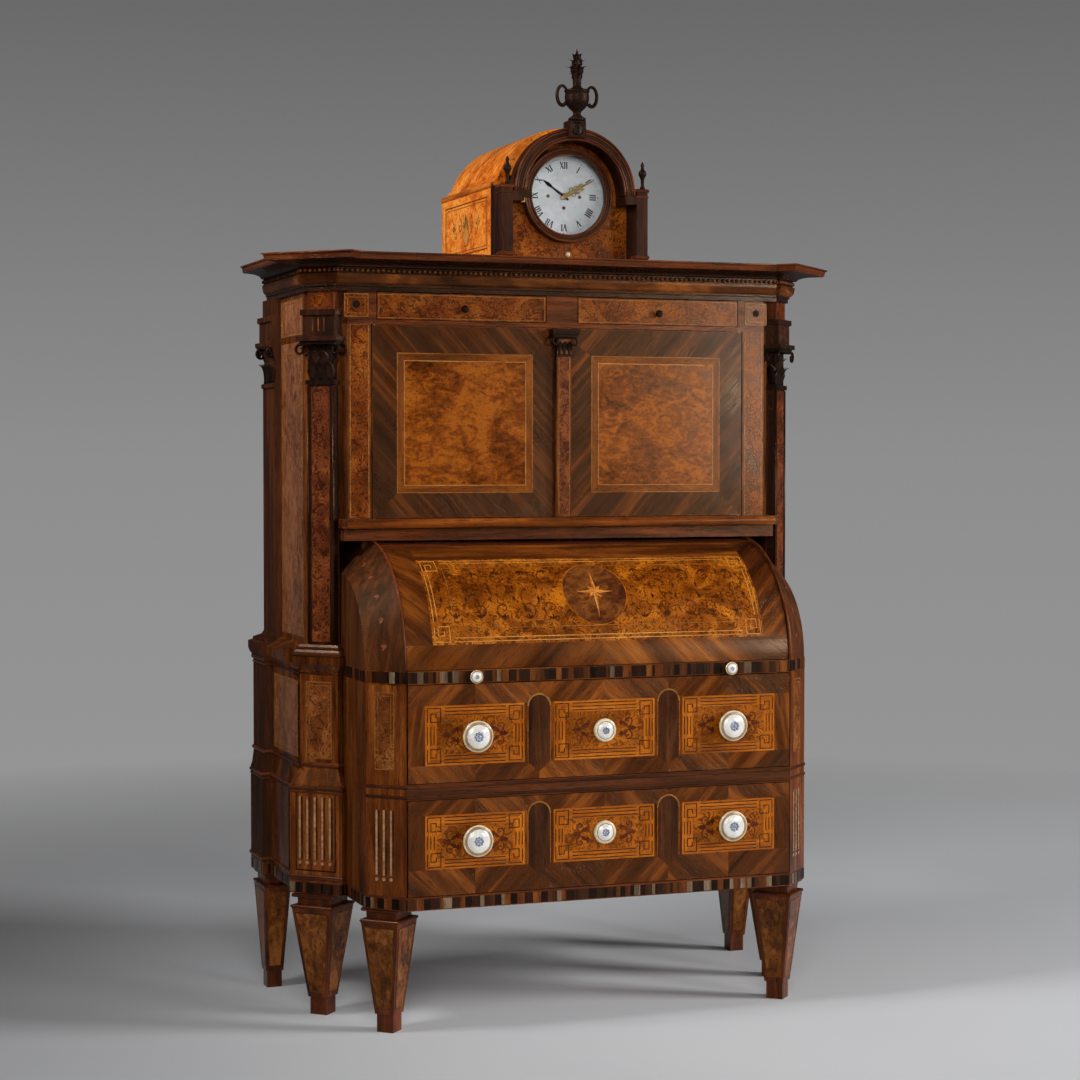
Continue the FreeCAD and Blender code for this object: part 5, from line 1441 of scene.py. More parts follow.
def roll_scrolls(piece, middle):
    """Rows of scrolls with leaves, on both sides of the star."""
    out, rise, length = STEM_LEAF
    for sign in BOTH:
        for step in range(SCROLLS):
            s = sign * (SCROLL_START + step * SCROLL_GAP)
            for up in BOTH:
                upward = RIGHT_ANGLE * up
                place, size = (s, middle + up * SCROLL_RISE), SCROLL_SIZE - SCROLL_LOSS * step
                turn = sign * up * (1 if step % 2 else -1)
                end = curl(piece, place, size, turn, upward, M.scroll_line, LIGHT)
                for fan in row(3, SCROLL_FAN):
                    leaf(piece, end, SCROLL_LEAF, fan - upward, M.scroll_line)
                leaf(piece, (s + sign * out, middle + up * rise), length, upward, M.scroll_line)


def cylinder():
    """The roll: slanting border, string frame with meanders, scrolls and a star in a dark oval."""
    piece = Piece("cylinder_veneer", Roll())
    low, high, top, middle = [math.radians(angle) * ROLL_RADIUS for angle in ROLL_ANGLES]
    edge = box("cylinder_shell").x1
    field = (-ROLL_HALF, low, ROLL_HALF, high)
    piece.plate((-edge, EDGE_GAP, 0, low), M.roll_band, SLANT)
    piece.plate((0, EDGE_GAP, edge, low), M.roll_band, -SLANT)
    for sign in BOTH:
        piece.plate(sided(sign, ROLL_HALF, low, edge, top), M.crossband, SLANT * sign)
    piece.plate((-ROLL_HALF, high, ROLL_HALF, top), M.crossband)
    piece.plate(field, M.roll_scroll)
    key_frame(piece, inset(field, ROLL_KEY_INSET), M.pale_string, ROLL_KEY_PITCH, 2)
    side, under, over = ROLL_LINE
    piece.ring_line((-ROLL_HALF + side, low + under, ROLL_HALF - side, high - over), HAIR)
    roll_star(piece, middle)
    roll_scrolls(piece, middle)
    piece.build("cylinder", "marquetry")


def doors():
    """Slanting border veneer, double strings and a burr panel on each door."""
    for side, sign in SIDES.items():
        piece = Piece(f"door_{side}_veneer", front_face(f"door_{side}"))
        panel = sided(sign, *DOOR_PANEL)
        field = inset(panel, DOOR_EDGE)
        whole = inset(box(f"door_{side}").front, EDGE_GAP)
        piece.border(whole, panel, M.door_band, [DOOR_LEAN * sign] * 4)
        piece.border(panel, field, M.door_edge, FRAME_GRAINS)
        piece.plate(field, M.burr)
        piece.ring_line(panel, LIGHT)
        piece.ring_line(field, LIGHT, M.door_string)
        piece.build(f"door_{side}", "burl_veneer")


def block_strip(name, face, area, body):
    """A band of small upright blocks of uneven width in dark and pale woods."""
    s0, t0, s1, t1 = area
    piece = Piece(name, face)
    names = [wood_name for wood_name, weight in BLOCKS for turn in range(weight)]
    place = s0
    last = None
    while place < s1 - TINY:
        far = min(s1, place + CHANCE.uniform(*BLOCK_WIDTHS))
        far = s1 if s1 - far < BLOCK_LEAST else far
        last = CHANCE.choice([entry for entry in names if entry != last])
        high = VENEER + BLOCK_RISE * CHANCE.randint(0, 3)
        piece.plate((place, t0, far, t1), getattr(M, last), 90, high)
        place = far
    piece.build(body, "dark_wood")


def strip_round(name, plan, z0, z1):
    """The same band along each run of a plan path."""
    for run, (start, end) in enumerate(zip(plan, plan[1:])):
        along = Vector((end[0] - start[0], end[1] - start[1], 0))
        face = Face((start[0], start[1], 0), along)
        block_strip(f"{name}_{run}", face, (0.0, z0, along.length, z1), "carcase")


def block_strips():
    """Bands of blocks on the slide's edge and the plinth, and round the corners beside them."""
    slide, plinth, front = box("writing_slide"), box("plinth"), box("lower_drawer_front")
    high_band = (slide.z0 + BLOCK_MARGIN, slide.z1 - BLOCK_MARGIN)
    low_band = (plinth.z0 + BLOCK_MARGIN, plinth.z1 - PLINTH_MARGIN)
    slide_area = inset(slide.front, EDGE_GAP, BLOCK_MARGIN)
    block_strip("slide_blocks", front_at(slide.y0), slide_area, "writing_slide")
    plinth_area = (front.x0, low_band[0], front.x1, low_band[1])
    block_strip("plinth_blocks_front", front_at(plinth.y0), plinth_area, "carcase")
    for side, plan in mirrored(desk_corner()).items():
        strip_round(f"desk_blocks_{side}", plan, *high_band)
    for side, plan in mirrored(desk_corner() + pedestal_plan(LOW_BLOCK)[1:] + low_rear_plan()).items():
        strip_round(f"plinth_blocks_{side}", plan, *low_band)


def corner_posts():
    """A marquetry panel and false flutes on the desk's canted corners."""
    upper, lower = box("upper_drawer_front"), box("lower_drawer_front")
    half = CANT / ROOT_TWO - POST_EDGE
    left, under, right, over = POST_PANEL
    flute_low, flute_high = POST_FLUTE_ENDS
    for side in SIDES:
        piece = Piece(f"corner_post_{side}_inlay", cant_face(side))
        piece.plate((-half, lower.z0, half, upper.z1), M.post, 90, THIN_VENEER)
        framed(piece, (left, upper.z0 + under, right, upper.z1 - over), M.cant_scroll)
        flutes(piece, POST_FLUTE_PLACE, (lower.z0 + flute_low, lower.z1 - flute_high), *POST_FLUTES)
        piece.build("carcase", "marquetry")


def pedestals():
    """False flutes on the lower block of each pedestal and a marquetry panel on the upper one."""
    for side in SIDES:
        low = Piece(f"pedestal_{side}_low_inlay", wing_face(side, LOW_BLOCK[0]))
        half = LOW_BLOCK[1] / 2 - LOW_MARGIN
        low.plate((-half, LOW_PANEL[0], half, LOW_PANEL[1]), M.post, 90, THIN_VENEER)
        half -= LOW_LINE_INSET
        low.ring_line((-half, LOW_LINE[0], half, LOW_LINE[1]), BROAD, M.rosewood, INLAY)
        flutes(low, LOW_FLUTE_PLACE, LOW_FLUTE_ENDS, *LOW_FLUTES)
        low.build("carcase", "marquetry")
        high = Piece(f"pedestal_{side}_high_inlay", wing_face(side, HIGH_BLOCK[0]))
        half = HIGH_BLOCK[1] / 2 - HIGH_MARGIN
        high.plate((-half, HIGH_PANEL[0], half, HIGH_PANEL[1]), M.post, 90, THIN_VENEER)
        half -= HIGH_FRAME_INSET
        framed(high, (-half, HIGH_FRAME[0], half, HIGH_FRAME[1]), M.cant_scroll)
        high.build("carcase", "marquetry")


def pedestal_mouldings():
    """Round bars at the steps of the pedestals, carried on along the wing and the rear pilaster."""
    low_plan = pedestal_plan(LOW_BLOCK) + low_rear_plan()
    high_plan = pedestal_plan(HIGH_BLOCK) + rear_plan(wing_half() + BASE_SWELL, wing_half() + REAR_SWELL)
    out, width = HIGH_BLOCK
    for side in SIDES:
        piece = Piece(f"pedestal_{side}_mouldings")
        for plan, bars in ((low_plan, LOW_BARS), (high_plan, HIGH_BARS)):
            for bar in bars:
                piece.moulding(mirrored(plan)[side], half_round(*bar), M.red)
        for share, *bar in CAP_BARS:
            reach = CAP_OVER * share
            plan = pedestal_plan((out + reach, width + reach * 2))[:3]
            piece.moulding(mirrored(plan)[side], half_round(*bar), M.bar)
        piece.build("carcase", "dark_wood")


def door_strip():
    """Marquetry and a small carved capital on the strip of the right door."""
    limits = box("door_strip")
    half = limits.x1
    piece = Piece("door_strip_carving", front_face("door_strip"))
    panel = (limits.x0 + STRIP_SIDE, limits.z0 + STRIP_LOW, limits.x1 - STRIP_SIDE, STRIP_FOOT - STRIP_SIDE)
    piece.plate(panel, M.red_scroll, 90)
    piece.side_lines(panel, FINE, M.string)
    for wide, out, foot, top in STRIP_BLOCKS:
        piece.block(half + wide, foot, top, out, M.ebony, 0, STRIP_BACK)
    for s in row(3, STRIP_PITCH):
        face_blade(piece, piece.face, s, STRIP_FOOT + STRIP_LEAF_RISE, -EDGE_GAP, STRIP_LEAF, M.ebony)
    beside, out = STRIP_HOOK
    for sign in BOTH:
        hook(piece, piece.face, sign * (half + beside), STRIP_HEAD, out, sign, STRIP_HOOK_SIZE)
    piece.build("door_right", "dark_wood")


def cheek_flower(piece, s, t):
    """A small flower with two leaves on a stalk."""
    for petal in range(PETALS):
        leaf(piece, (s, t), PETAL, math.tau * petal / PETALS + PETAL_TURN, M.petal, PETAL_FAT)
    piece.disc((s, t), FLOWER_EYE, STRING_TOP, M.string, 10)
    for turn in BOTH:
        leaf(piece, (s, t + SPRIG_RISE), SPRIG, RIGHT_ANGLE + turn * SPRIG_LEAN, M.scroll_line)
    piece.string([(s, t + rise) for rise in STALK], HAIR, M.scroll_line, VENEER)


def cheeks():
    """Small flowers down the canted round, and a bead along the cheek's inner edge."""
    limits = box("cheek_right")
    axis = joint_place("cylinder_turn")
    radius = limits.z1 - axis.z - CHEEK_BEAD_SINK
    curve = arc((axis.y, axis.z), (-radius, radius), CHEEK_STEPS, 0.0, RIGHT_ANGLE)
    for side, sign in SIDES.items():
        piece = Piece(f"cheek_{side}_inlay", CheekCant(side))
        for step in range(FLOWERS):
            cheek_flower(piece, CANT / ROOT_TWO, FLOWER_START + step * FLOWER_GAP)
        x = sign * (limits.x0 + CHEEK_BEAD_INSET)
        piece.tube([(x, y, z) for y, z in curve], CHEEK_BEAD, M.red, 8)
        piece.build("carcase", "dark_wood")


def stiles():
    """Marquetry between two strings on the stiles beside the doors."""
    for side, sign in SIDES.items():
        limits = box(f"front_stile_{side}")
        piece = Piece(f"front_stile_{side}_inlay", front_face(f"front_stile_{side}"))
        inner, outer = sorted((abs(limits.x0), abs(limits.x1)))
        outer = min(outer, inner + STILE_WIDTH)
        whole = sided(sign, inner, limits.z0, outer, limits.z1)
        panel = inset(whole, STILE_EDGE, STILE_END)
        piece.plate(panel, M.scroll, 90)
        piece.side_lines(inset(panel, STILE_EDGE, 0.0), STRING, M.string)
        piece.build("carcase", "marquetry")


def capital(piece):
    """Two rows of leaves, a leaf on each side, and four hooked volutes."""
    face = piece.face
    depth, half = SHAFT[0], SHAFT[1] / 2
    for count, rise, sink, size, wood_name in CAPITAL_LEAVES:
        for s in row(count, CAPITAL_PITCH):
            face_blade(piece, face, s, CAPITAL_FOOT + rise, depth - sink, size, getattr(M, wood_name))
    for sign in BOTH:
        edge = face.point(sign * (half - SIDE_LEAF_INSET), CAPITAL_FOOT + SIDE_LEAF_INSET, depth / 2)
        blade(piece, edge, face.out, face.up, face.right * sign, SIDE_LEAF, M.ebony)
        for h in (depth + CAPITAL_HOOK_OUT, CAPITAL_HOOK_REAR):
            hook(piece, face, sign * (half + CAPITAL_HOOK_OUT), CAPITAL_UNDER, h, sign, CAPITAL_HOOK)


def shaft_inlay(piece, side, limits):
    """Rounded arrises, grooves over the capital and marquetry on the front of a pilaster."""
    face = piece.face
    depth, half = SHAFT[0], SHAFT[1] / 2
    for s in (-half, half):
        ends = [face.point(s, t, depth) for t in (limits.z0 + ARRIS_LOW, CAPITAL_FOOT - ARRIS_HIGH)]
        piece.tube(ends, ARRIS_RADIUS, M.rosewood)
    for s in row(3, GROOVE_GAP):
        ends = [(s, CAPITAL_TOP + GROOVE_LOW), (s, ARCHITRAVE - GROOVE_HIGH)]
        piece.string(ends, BROAD, M.walnut, depth + GROOVE_TOP)
    piece.face = wing_face(side, depth)
    edge = half - SHAFT_MARGIN
    panel = (-edge, limits.z0 + SHAFT_LOW, edge, CAPITAL_FOOT - SHAFT_HIGH)
    piece.plate(panel, M.red_scroll, 90)
    piece.side_lines(panel, SLIM, M.band)
    piece.plate(inset((-half, ARCHITRAVE, half, limits.z1), *FRIEZE_MARGIN), M.scroll, 90)


def pilasters():
    """Diagonal pilasters: inlaid shaft, leafy capital with hooked volutes, and blocks over it."""
    depth, half = SHAFT[0], SHAFT[1] / 2
    for side in SIDES:
        limits = box(f"pilaster_{side}")
        piece = Piece(f"pilaster_{side}_carved", wing_face(side, 0.0))
        low = limits.z0
        for wide, out, top, wood_name in PILASTER_BLOCKS:
            piece.block(half + wide, low, top, depth + out, getattr(M, wood_name))
            low = top
        piece.block(half, low, limits.z1, depth, M.red)
        capital(piece)
        shaft_inlay(piece, side, limits)
        piece.build("carcase", "dark_wood", f"pilaster_{side}")


def rear_pilasters():
    """Rear pilasters with their pedestals, carved capitals and blocks."""
    inner = box("back_panel").x1
    for side, sign in SIDES.items():
        limits = box(f"rear_pilaster_{side}")
        piece = Piece(f"rear_pilaster_{side}_carved", front_at(limits.y0))
        outline = [(sign * (wing_half() + out), z) for out, z in REAR_PROFILE]
        outline += [(sign * inner, limits.z1), (sign * inner, limits.z0)]
        # the rear pilaster's wood is toned dark as painted shade
        piece.slab(outline, 0.0, M.rear_wood, 90, limits.y0 - limits.y1)
        flank = side_face(side, sign * (wing_half() + REAR_OUT))
        middle, half = sign * (limits.y0 + limits.y1) / 2, (limits.y1 - limits.y0) / 2
        for s in row(REAR_LEAVES, REAR_PITCH, middle):
            face_blade(piece, flank, s, REAR_FOOT, 0.0, REAR_LEAF, M.ebony)
        for y in (limits.y0 + REAR_HOOK_ENDS[0], limits.y1 - REAR_HOOK_ENDS[1]):
            s = sign * (wing_half() + REAR_HOOK_OUT)
            hook(piece, front_at(y), s, REAR_HOOK_LEVEL, 0.0, sign, REAR_HOOK)
        for way in BOTH:
            s = middle + way * (half - FLANK_HOOK_INSET)
            hook(piece, flank, s, REAR_HOOK_LEVEL, FLANK_HOOK_OUT, way, FLANK_HOOK)
        piece.build("carcase", "dark_wood", f"rear_pilaster_{side}")


def front_mouldings():
    """Round bars along the drawer rail, and the nosing of the shelf over the cylinder."""
    rail, shelf = box("drawer_rail"), box("desk_shelf")
    edge = box("corner_post_right").x1
    piece = Piece("rail_mouldings")
    plan = [(-edge, rail.y0 + CANT), (-edge + CANT, rail.y0), (edge - CANT, rail.y0), (edge, rail.y0 + CANT)]
    for z in (rail.z0 + RAIL_BAR_INSET, rail.z1 - RAIL_BAR_INSET):
        piece.moulding(plan, half_round(RAIL_BAR, z - RAIL_BAR_HALF, z + RAIL_BAR_HALF), M.bar)
    piece.build("carcase", "dark_wood")
    piece = Piece("shelf_nosing")
    half, back = wing_half() - WING_CUT + SHELF_END, shelf.y0 + SHELF_RETURN
    plan = [(-half, back), (-half, shelf.y0), (half, shelf.y0), (half, back)]
    foot, top = shelf.z1 - SHELF_LIP + EDGE_GAP, shelf.z1 - EDGE_GAP
    # the nosing's wood is brown, lightened partly as a painted highlight
    piece.moulding(plan, half_round(SHELF_ROUND, foot, top, 10), M.nosing)
    piece.build("carcase", "dark_wood")


def cornice_plan(share):
    """The cornice's outline from the back left round to the back right, at a share of its full reach."""
    front = box("door_left").y0 - CORNICE_FRONT * share
    half = SHAFT[1] / 2 + CORNICE_CORNER * share
    out = SHAFT[0] + CORNICE_CORNER * share
    side = wing_half() + CORNICE_SIDE * share
    x = wing_half() - WING_CUT / 2 - CORNICE_INSET * share / ROOT_TWO
    y = box("door_left").y0 + WING_CUT / 2 - CORNICE_INSET * share / ROOT_TWO
    right = [(x - half * ROOT_TWO + y - front, front),
             (x + (out - half) / ROOT_TWO, y - (out + half) / ROOT_TWO),
             (x + (out + half) / ROOT_TWO, y + (half - out) / ROOT_TWO),
             (side, y + half * ROOT_TWO - side + x),
             (side, box("cornice").y1)]
    return [(-a, b) for a, b in reversed(right)] + right


def cornice_levels(base, top):
    """The cornice's levels from below: share of the full reach, height and wood."""
    orange = arc(*CORNICE_ROUND, 6, -RIGHT_ANGLE, RIGHT_ANGLE)
    hollow = arc(*CORNICE_HOLLOW, 8, 0.0, RIGHT_ANGLE)
    groups = [(CORNICE_DARK, M.rosewood), (orange, M.band), (CORNICE_COURSE + hollow, M.rosewood),
              (CORNICE_FASCIA, M.red)]
    levels = [(share, base + rise, material) for places, material in groups for share, rise in places]
    return levels + [(1.0, top, M.red)]


def cornice_ring(piece, share, z):
    """One level of the cornice, with the length run so far at each place."""
    places = [Vector((x, y, z)) for x, y in cornice_plan(share)]
    run = 0.0
    ring = []
    for last, here in zip(places[:1] + places, places):
        run += (here - last).length
        ring.append((here, run, z + share * CORNICE_SLOPE))
    return piece.ring(ring)


def bead_course(level):
    """A row of beads round the cornice."""
    beads = Piece("cornice_beads")
    path = [Vector((x, y, level)) for x, y in cornice_plan(BEAD_SHARE)]
    for start, end in zip(path, path[1:]):
        count = max(2, round((end - start).length / BEAD_GAP))
        for step in range(count):
            beads.bead(start.lerp(end, (step + 0.5) / count), BEAD_RADIUS, M.walnut)
    beads.build("carcase", "dark_wood")


def cornice():
    """The moulded cornice: dark fascias, an orange round, a bead course, a hollow and a top fascia."""
    limits = box("cornice")
    piece = Piece("cornice_moulding")
    levels = cornice_levels(limits.z0, limits.z1)
    rings = [cornice_ring(piece, share, z) for share, z, material in levels]
    cut = piece.cut()
    piece.span(rings, cut, [material for share, z, material in levels[1:]], capped=False)
    for ring, material in ((rings[0], M.rosewood), (rings[-1], M.top_wood)):
        piece.skin([(vertex, vertex.co.x, vertex.co.y) for vertex, run, rise in ring], cut, material)
    piece.build("carcase", "dark_wood", "cornice")
    bead_course(limits.z0 + BEAD_LEVEL)


def urn_spire(piece, centre):
    """Tiers of leaves round the urn's spire."""
    for level, height, width, lean in SPIRE:
        for step in range(SPIRE_LEAVES):
            angle = math.tau * step / SPIRE_LEAVES + level * SPIRE_TWIST
            out = Vector((math.cos(angle), math.sin(angle), 0))
            across = Vector((-math.sin(angle), math.cos(angle), 0))
            foot = centre + Vector((0, 0, level)) + out * SPIRE_CORE
            blade(piece, foot, across, UP, out, (width, height, lean), M.ebony)


def clock_finials():
    """The urn with its two handles and leafy spire, and a turned finial on each hood pilaster."""
    limits, hood = box("clock_finials"), box("clock_hood")
    piece = Piece("clock_finials_carved")
    centre = Vector((0, hood.y0 + URN_BACK, hood.z1))
    piece.lathe(URN, centre, UP, M.ebony, 28)
    start, sweep = math.radians(HANDLE_START), math.radians(HANDLE_SWEEP)
    handle = arc(HANDLE_MIDDLE, HANDLE_REACH, HANDLE_STEPS, start, sweep)
    radii = [HANDLE_THICK - HANDLE_LOSS * step / HANDLE_STEPS for step in range(HANDLE_STEPS + 1)]
    for sign in BOTH:
        piece.tube([centre + Vector((sign * reach, 0, rise)) for reach, rise in handle], radii, M.ebony)
    urn_spire(piece, centre)
    for sign in BOTH:
        foot = (sign * (limits.x1 - FINIAL_RADIUS), centre.y + FINIAL_BACK, limits.z0)
        piece.lathe(FINIAL, foot, UP, M.ebony, 18)
    piece.build("carcase", "dark_wood", "clock_finials")


def hood_pilaster_bars(piece, sign, hood, front, level):
    """Round bars at the head and the foot of a hood pilaster."""
    inner, outer, back = sign * (hood.x1 - HOOD_PILASTER), sign * hood.x1, front + HOOD_RETURN
    plan = [(inner, back), (inner, front), (outer, front), (outer, back)]
    plan = plan if sign > 0 else plan[::-1]
    top = level + HOOD_RISE
    bars = [(out, top + low, top + high) for out, low, high in HOOD_HEAD_BARS]
    out, low, high = HOOD_FOOT_BAR
    for bar in bars + [(out, hood.z0 + low, hood.z0 + high)]:
        piece.moulding(plan, half_round(*bar), M.red)


def clock_hood():
    """Mouldings on the arch, the hood pilasters and the bezel, and a leaf on the keystone."""
    hood, dial, bezel = box("clock_hood"), box("dial"), box("bezel")
    level = (dial.z0 + dial.z1) / 2
    front = hood.y0 + KEYSTONE_REACH
    piece = Piece("clock_hood_mouldings")
    for radius, thick in ARCH_BARS:
        curve = arc((0, level), (radius, radius), ARCH_STEPS, 0.0, math.pi)
        piece.tube([(x, front, z) for x, z in curve], thick, M.red, 8)
    for sign in BOTH:
        hood_pilaster_bars(piece, sign, hood, front, level)
    head = (0, hood.y0 + KEYSTONE_SINK, hood.z1 - KEYSTONE_DROP)
    blade(piece, head, (1, 0, 0), (0, 0, -1), FORWARD, KEYSTONE_LEAF, M.ebony)
    piece.build("carcase", "dark_wood")
    ring = Piece("bezel_mouldings")
    for radius, thick in BEZEL_BARS:
        ring.hoop(radius, thick, (0, bezel.y1 - BEZEL_DEPTH, level), M.red)
    ring.build("clock_bezel", "dark_wood")


def wing_panels():
    """Burr panels in string frames on the sides of the cabinet and of its base."""
    rear = box("rear_pilaster_right").y0 - BASE_MARGIN
    front = pedestal_plan(HIGH_BLOCK)[3][1] + BASE_MARGIN
    for side, sign in SIDES.items():
        wing = box(f"wing_{side}")
        piece = Piece(f"wing_{side}_inlay", side_face(side, sign * wing_half()))
        near, far = [wing.y0 + depth for depth in WING_DEPTHS]
        piece.plate(sided(sign, near, WING_PANEL[0], far, WING_PANEL[1]), M.wing_burr, 90)
        framed(piece, sided(sign, near, WING_HEAD[0], far, WING_HEAD[1]), M.wing_burr)
        for step, foot, top, width in WING_LINES:
            piece.ring_line(inset(sided(sign, near, foot, far, top), step, 0.0), width)
        piece.face = side_face(side, sign * (wing_half() + BASE_SWELL))
        framed(piece, sided(sign, front, HIGH_FRAME[0], rear, HIGH_FRAME[1]), M.wing_burr)
        piece.build("carcase", "burl_veneer")


def leg_panel(piece, centre, top, foot, angle, wide):
    """A string frame round a burr panel on one tapering face of a leg; wide picks its width or its depth."""
    deep = 1 - wide
    out = Vector((math.sin(angle), -math.cos(angle), 0))
    across = Vector((math.cos(angle), math.sin(angle), 0))
    low = centre + out * foot[deep] / 2 + Vector((0, 0, LEG_FOOT))
    high = centre + out * top[deep] / 2 + Vector((0, 0, LEG_NECK))
    rise = (high - low).length
    piece.face = Face(low, across, high - low)
    near, far = foot[wide] / 2 - LEG_MARGINS[0], top[wide] / 2 - LEG_MARGINS[1]
    half = near + (far - near) * LEG_INSET / rise
    outline = [(-half, LEG_INSET), (half, LEG_INSET), (far, rise - LEG_INSET), (-far, rise - LEG_INSET)]
    piece.slab(outline, VENEER, M.leg, 90)
    piece.string(outline, SLIM, M.band, closed=True)


def leg_collar(piece, centre, top, angle):
    """A bead round the head of the leg and a fillet under the plinth."""
    across, back = Vector((math.cos(angle), math.sin(angle))), Vector((-math.sin(angle), math.cos(angle)))
    for step, out, z0, z1 in COLLARS:
        wide, deep = top[0] / 2 - step, top[1] / 2 - step
        ring = corners((-wide, -deep, wide, deep))
        plan = [tuple(centre.xy + across * x + back * y) for x, y in ring + ring[:1]]
        piece.moulding(plan, half_round(out, z0, z1, sunk=-COLLAR_DEPTH), M.red)


def leg_panels():
    """Panels on the four faces of each leg, and its collars."""
    for side in SIDES:
        for leg, (top, foot, turned) in LEGS.items():
            limits = box(f"leg_{leg}_{side}")
            centre = Vector(((limits.x0 + limits.x1) / 2, (limits.y0 + limits.y1) / 2, 0))
            piece = Piece(f"leg_{leg}_{side}_inlay")
            for quarter in range(4):
                leg_panel(piece, centre, top, foot, math.radians(turned + 90 * quarter), quarter % 2)
            leg_collar(piece, centre, top, math.radians(turned))
            piece.build("carcase", "burl_veneer")


def frieze():
    """Marquetry on the frieze drawers, and square dice with dots beside them."""
    for side in SIDES:
        whole = box(f"frieze_drawer_{side}").front
        piece = Piece(f"frieze_drawer_{side}_veneer", front_face(f"frieze_drawer_{side}"))
        piece.plate(inset(whole, EDGE_GAP), M.scroll)
        piece.ring_line(inset(whole, DRAWER_LINE), SLIM)
        piece.build(f"frieze_drawer_{side}", "burl_veneer")
    dice = Piece("frieze_dice", front_face("frieze_blocks"))
    low, high = DIE_LEVELS
    for sign in BOTH:
        s = sign * DIE_PLACE
        framed(dice, (s - DIE_HALF, low, s + DIE_HALF, high), M.scroll)
        dice.disc((s, DIE_DOT_LEVEL), DIE_DOT, STRING_TOP, M.ebony)
    dice.build("carcase", "marquetry")


def rosette(piece, place, radius, reach, profile, bands):
    """A white glazed knob with a cream rim, a gilt groove and a small blue flower on its face."""
    x, y, z = place
    turned = [(radius * wide, reach * out) for wide, out in profile]
    piece.lathe(turned, place, FORWARD, [getattr(M, band) for band in bands], 40)
    for a, b in arc((x, z), (radius * FLOWER_RING,) * 2, FLOWER_PETALS):
        piece.bead((a, y - reach * FLOWER_LEVEL, b), radius * FLOWER_BEAD, M.blue)
    piece.bead((x, y - reach * HEART_LEVEL, z), radius * HEART_BEAD, M.blue)


def knob_pair(piece, limits, radius, reach):
    """A knob at each end of a node's box."""
    for x in (limits.x0 + radius, limits.x1 - radius):
        rosette(piece, (x, limits.y1, (limits.z0 + limits.z1) / 2), radius, reach, KNOB, KNOB_BANDS)


def knobs():
    """Knobs and key rosettes of the long drawers, and the slide's two buttons."""
    for name in DRAWER_MARGINS:
        limits = box(f"{name}_knobs")
        piece = Piece(f"{name}_rosettes")
        knob_pair(piece, limits, KNOB_RADIUS, limits.y1 - limits.y0 - FLOWER_RISE)
        middle = (0, limits.y1, (limits.z0 + limits.z1) / 2)
        rosette(piece, middle, *ROSETTE_SIZE, ROSETTE, ROSETTE_BANDS)
        piece.build(name, "ceramic", f"{name}_knobs")
    limits = box("slide_knobs")
    piece = Piece("slide_buttons")
    knob_pair(piece, limits, SLIDE_KNOB_RADIUS, limits.y1 - limits.y0)
    piece.build("writing_slide", "ceramic", "slide_knobs")


def numeral(piece, hour, letters):
    """An hour's numeral, upright toward the rim."""
    angle = math.tau * hour / len(NUMERALS)
    up = Vector((math.sin(angle), math.cos(angle)))
    right = Vector((math.cos(angle), -math.sin(angle)))
    widths = [LETTER_SHARES[letter] * LETTER_HEIGHT for letter in letters]
    place = -(sum(widths) + LETTER_GAP * (len(letters) - 1)) / 2
    for letter, width in zip(letters, widths):
        for low, high, weight in STROKES[letter]:
            path = [tuple(right * (place + width * x) + up * (LETTER_REACH + LETTER_HEIGHT * y))
                    for x, y in (low, high)]
            piece.string(path, LETTER_BAR * weight, M.ink, VENEER)
        place += width + LETTER_GAP


def clock_dial():
    """Hour numerals, minute dots and winding holes on the enamel."""
    limits = box("dial")
    centre = ((limits.x0 + limits.x1) / 2, limits.y0, (limits.z0 + limits.z1) / 2)
    piece = Piece("dial_numerals", Face(centre, (1, 0, 0)))
    for hour, letters in enumerate(NUMERALS):
        numeral(piece, hour, letters)
    for minute in range(60):
        size = HOUR_DOT if minute % 5 == 0 else MINUTE_DOT
        piece.disc(polar((0, 0), MINUTE_RING, RIGHT_ANGLE - math.tau * minute / 60), size, VENEER, M.ink, 8)
    for hole in WINDING_HOLES:
        piece.disc(hole, WINDING_RIM, VENEER, M.brass)
        piece.disc(hole, WINDING_BORE, INLAY, M.ink)
    piece.build("carcase", "enamel")


def hand_face(y, level, angle):
    """A plane that looks back to the dial, with its upright along a hand."""
    along = Vector((math.sin(angle), 0, math.cos(angle)))
    return Face((0, y, level), along.cross((0, 1, 0)), along)


def clock_hands():
    """A spade-shaped hour hand, and pierced rings and leaves on the gilt minute hand."""
    limits, dial = box("hour_hand"), box("dial")
    level = (dial.z0 + dial.z1) / 2
    thick = limits.y1 - limits.y0
    piece = Piece("hour_hand_spade", hand_face(limits.y1, level, HOUR_ANGLE))
    for shape in (HOUR_BLADE, HOUR_TAIL):
        outline = [(-half, t) for t, half in shape] + [(half, t) for t, half in reversed(shape)]
        piece.slab(outline, thick, M.steel, 90, 0.0)
    bore, rim = HOUR_HUB
    piece.lathe(corners((bore, 0.0, rim, thick)), (0, limits.y1, level), FORWARD, M.steel, 32, True)
    piece.build("hour_hand", "blued_steel", "hour_hand")
    face = hand_face(box("minute_hand").y0, level, MINUTE_ANGLE)
    piece = Piece("minute_hand_rings", face)
    for sign in BOTH:
        for reach, wide, radius in MINUTE_RINGS:
            piece.hoop(radius, MINUTE_WIRE, face.point(sign * wide, reach, MINUTE_SINK), M.gilt_hand)
        leaf(piece, (0, MINUTE_LEAF_PLACE), MINUTE_LEAF, RIGHT_ANGLE + sign * LEAF_LEAN, M.gilt_hand,
             MINUTE_LEAF_FAT, MINUTE_LEAF_TOP)
    piece.build("minute_hand", "brass")


def vase(piece, middle, level, size):
    """A pale vase with a dark outline."""
    outline = [(middle + size * wide, level + size * t) for wide, t in VASE]
    outline += [(middle - size * wide, level + size * t) for wide, t in reversed(VASE)]
    piece.slab(outline, INLAY, M.pale_string, 90)
    piece.string(outline, FINE, M.soft_line, closed=True)


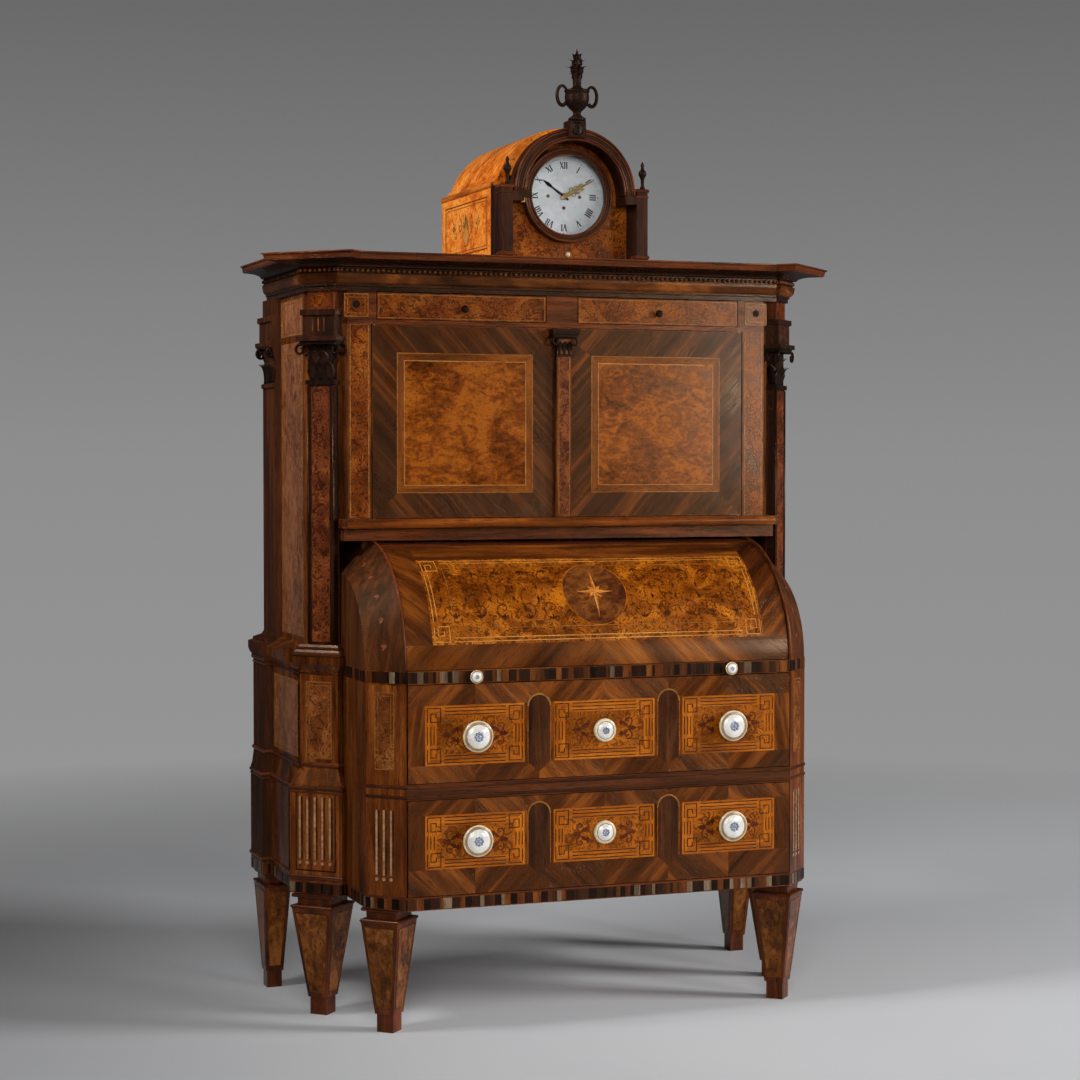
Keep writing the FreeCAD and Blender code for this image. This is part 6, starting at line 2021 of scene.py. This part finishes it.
def scroll_panel(piece, area):
    """A lined panel with a pale vase, leaves over it and a row of scrolls on each side."""
    s0, t0, s1, t1 = area
    piece.ring_line(area, BOLD, M.soft_line)
    piece.ring_line(inset(area, CASE_LINE), SLIM)
    middle, level = (s0 + s1) / 2, (t0 + t1) / 2
    size = min(s1 - s0, t1 - t0) * CASE_SIZE
    lip = level + size * VASE_LIP
    vase(piece, middle, level, size)
    for turn in BOTH:
        for out, rise, share, wind in VASE_SCROLLS:
            place = (middle + turn * size * out, level + size * rise)
            end = curl(piece, place, size * share, turn * wind, RIGHT_ANGLE, M.soft_line, VASE_OUTLINE)
            curl(piece, place, size * share, turn * wind, RIGHT_ANGLE, M.pale_string, BOLD, STRING_TOP)
            leaf(piece, end, size * VASE_SCROLL_LEAF, RIGHT_ANGLE - turn * LEAF_LEAN, M.pale_string)
        for step in range(VASE_LEAVES):
            angle = RIGHT_ANGLE - turn * (VASE_LEAN + VASE_FAN * step)
            length = size * (VASE_LEAF - VASE_LEAF_LOSS * step)
            leaf(piece, (middle + turn * size * VASE_SIDE, lip), length, angle, M.pale_string)
    leaf(piece, (middle, lip), size * VASE_TOP_LEAF, RIGHT_ANGLE, M.soft_line)


def clock_sides():
    """Marquetry on the sides of the clock case, a round along their top edge, and a button on the front."""
    limits = box("clock_case")
    for side, sign in SIDES.items():
        edge = limits.x0 if sign < 0 else limits.x1
        piece = Piece(f"clock_side_{side}_inlay", side_face(side, edge))
        field, panel = [sided(sign, limits.y0 + end, limits.z0 + foot, limits.y1 - end, limits.z0 + top)
                        for end, foot, top in (CASE_FIELD, CASE_PANEL)]
        piece.plate(field, M.bright)
        scroll_panel(piece, panel)
        plan = [(edge, y) for y in (limits.y0, limits.y1)][::sign]
        bar = half_round(CASE_BAR, limits.z1 - CASE_BAR_HALF, limits.z1 + CASE_BAR_HALF, sunk=CASE_BAR_SUNK)
        piece.moulding(plan, bar, M.satin)
        piece.build("carcase", "marquetry")
    panel = box("clock_panel")
    x, rise = BUTTON_PLACE
    piece = Piece("clock_button")
    piece.lathe(BUTTON, (x, panel.y0, panel.z0 + rise), FORWARD, M.cream, 20)
    piece.build("carcase", "ceramic")


stage()
dress_nodes()
drawers()
cylinder()
doors()
block_strips()
corner_posts()
pedestals()
pedestal_mouldings()
door_strip()
cheeks()
stiles()
pilasters()
rear_pilasters()
front_mouldings()
cornice()
clock_finials()
clock_hood()
wing_panels()
leg_panels()
frieze()
knobs()
clock_dial()
clock_hands()
clock_sides()
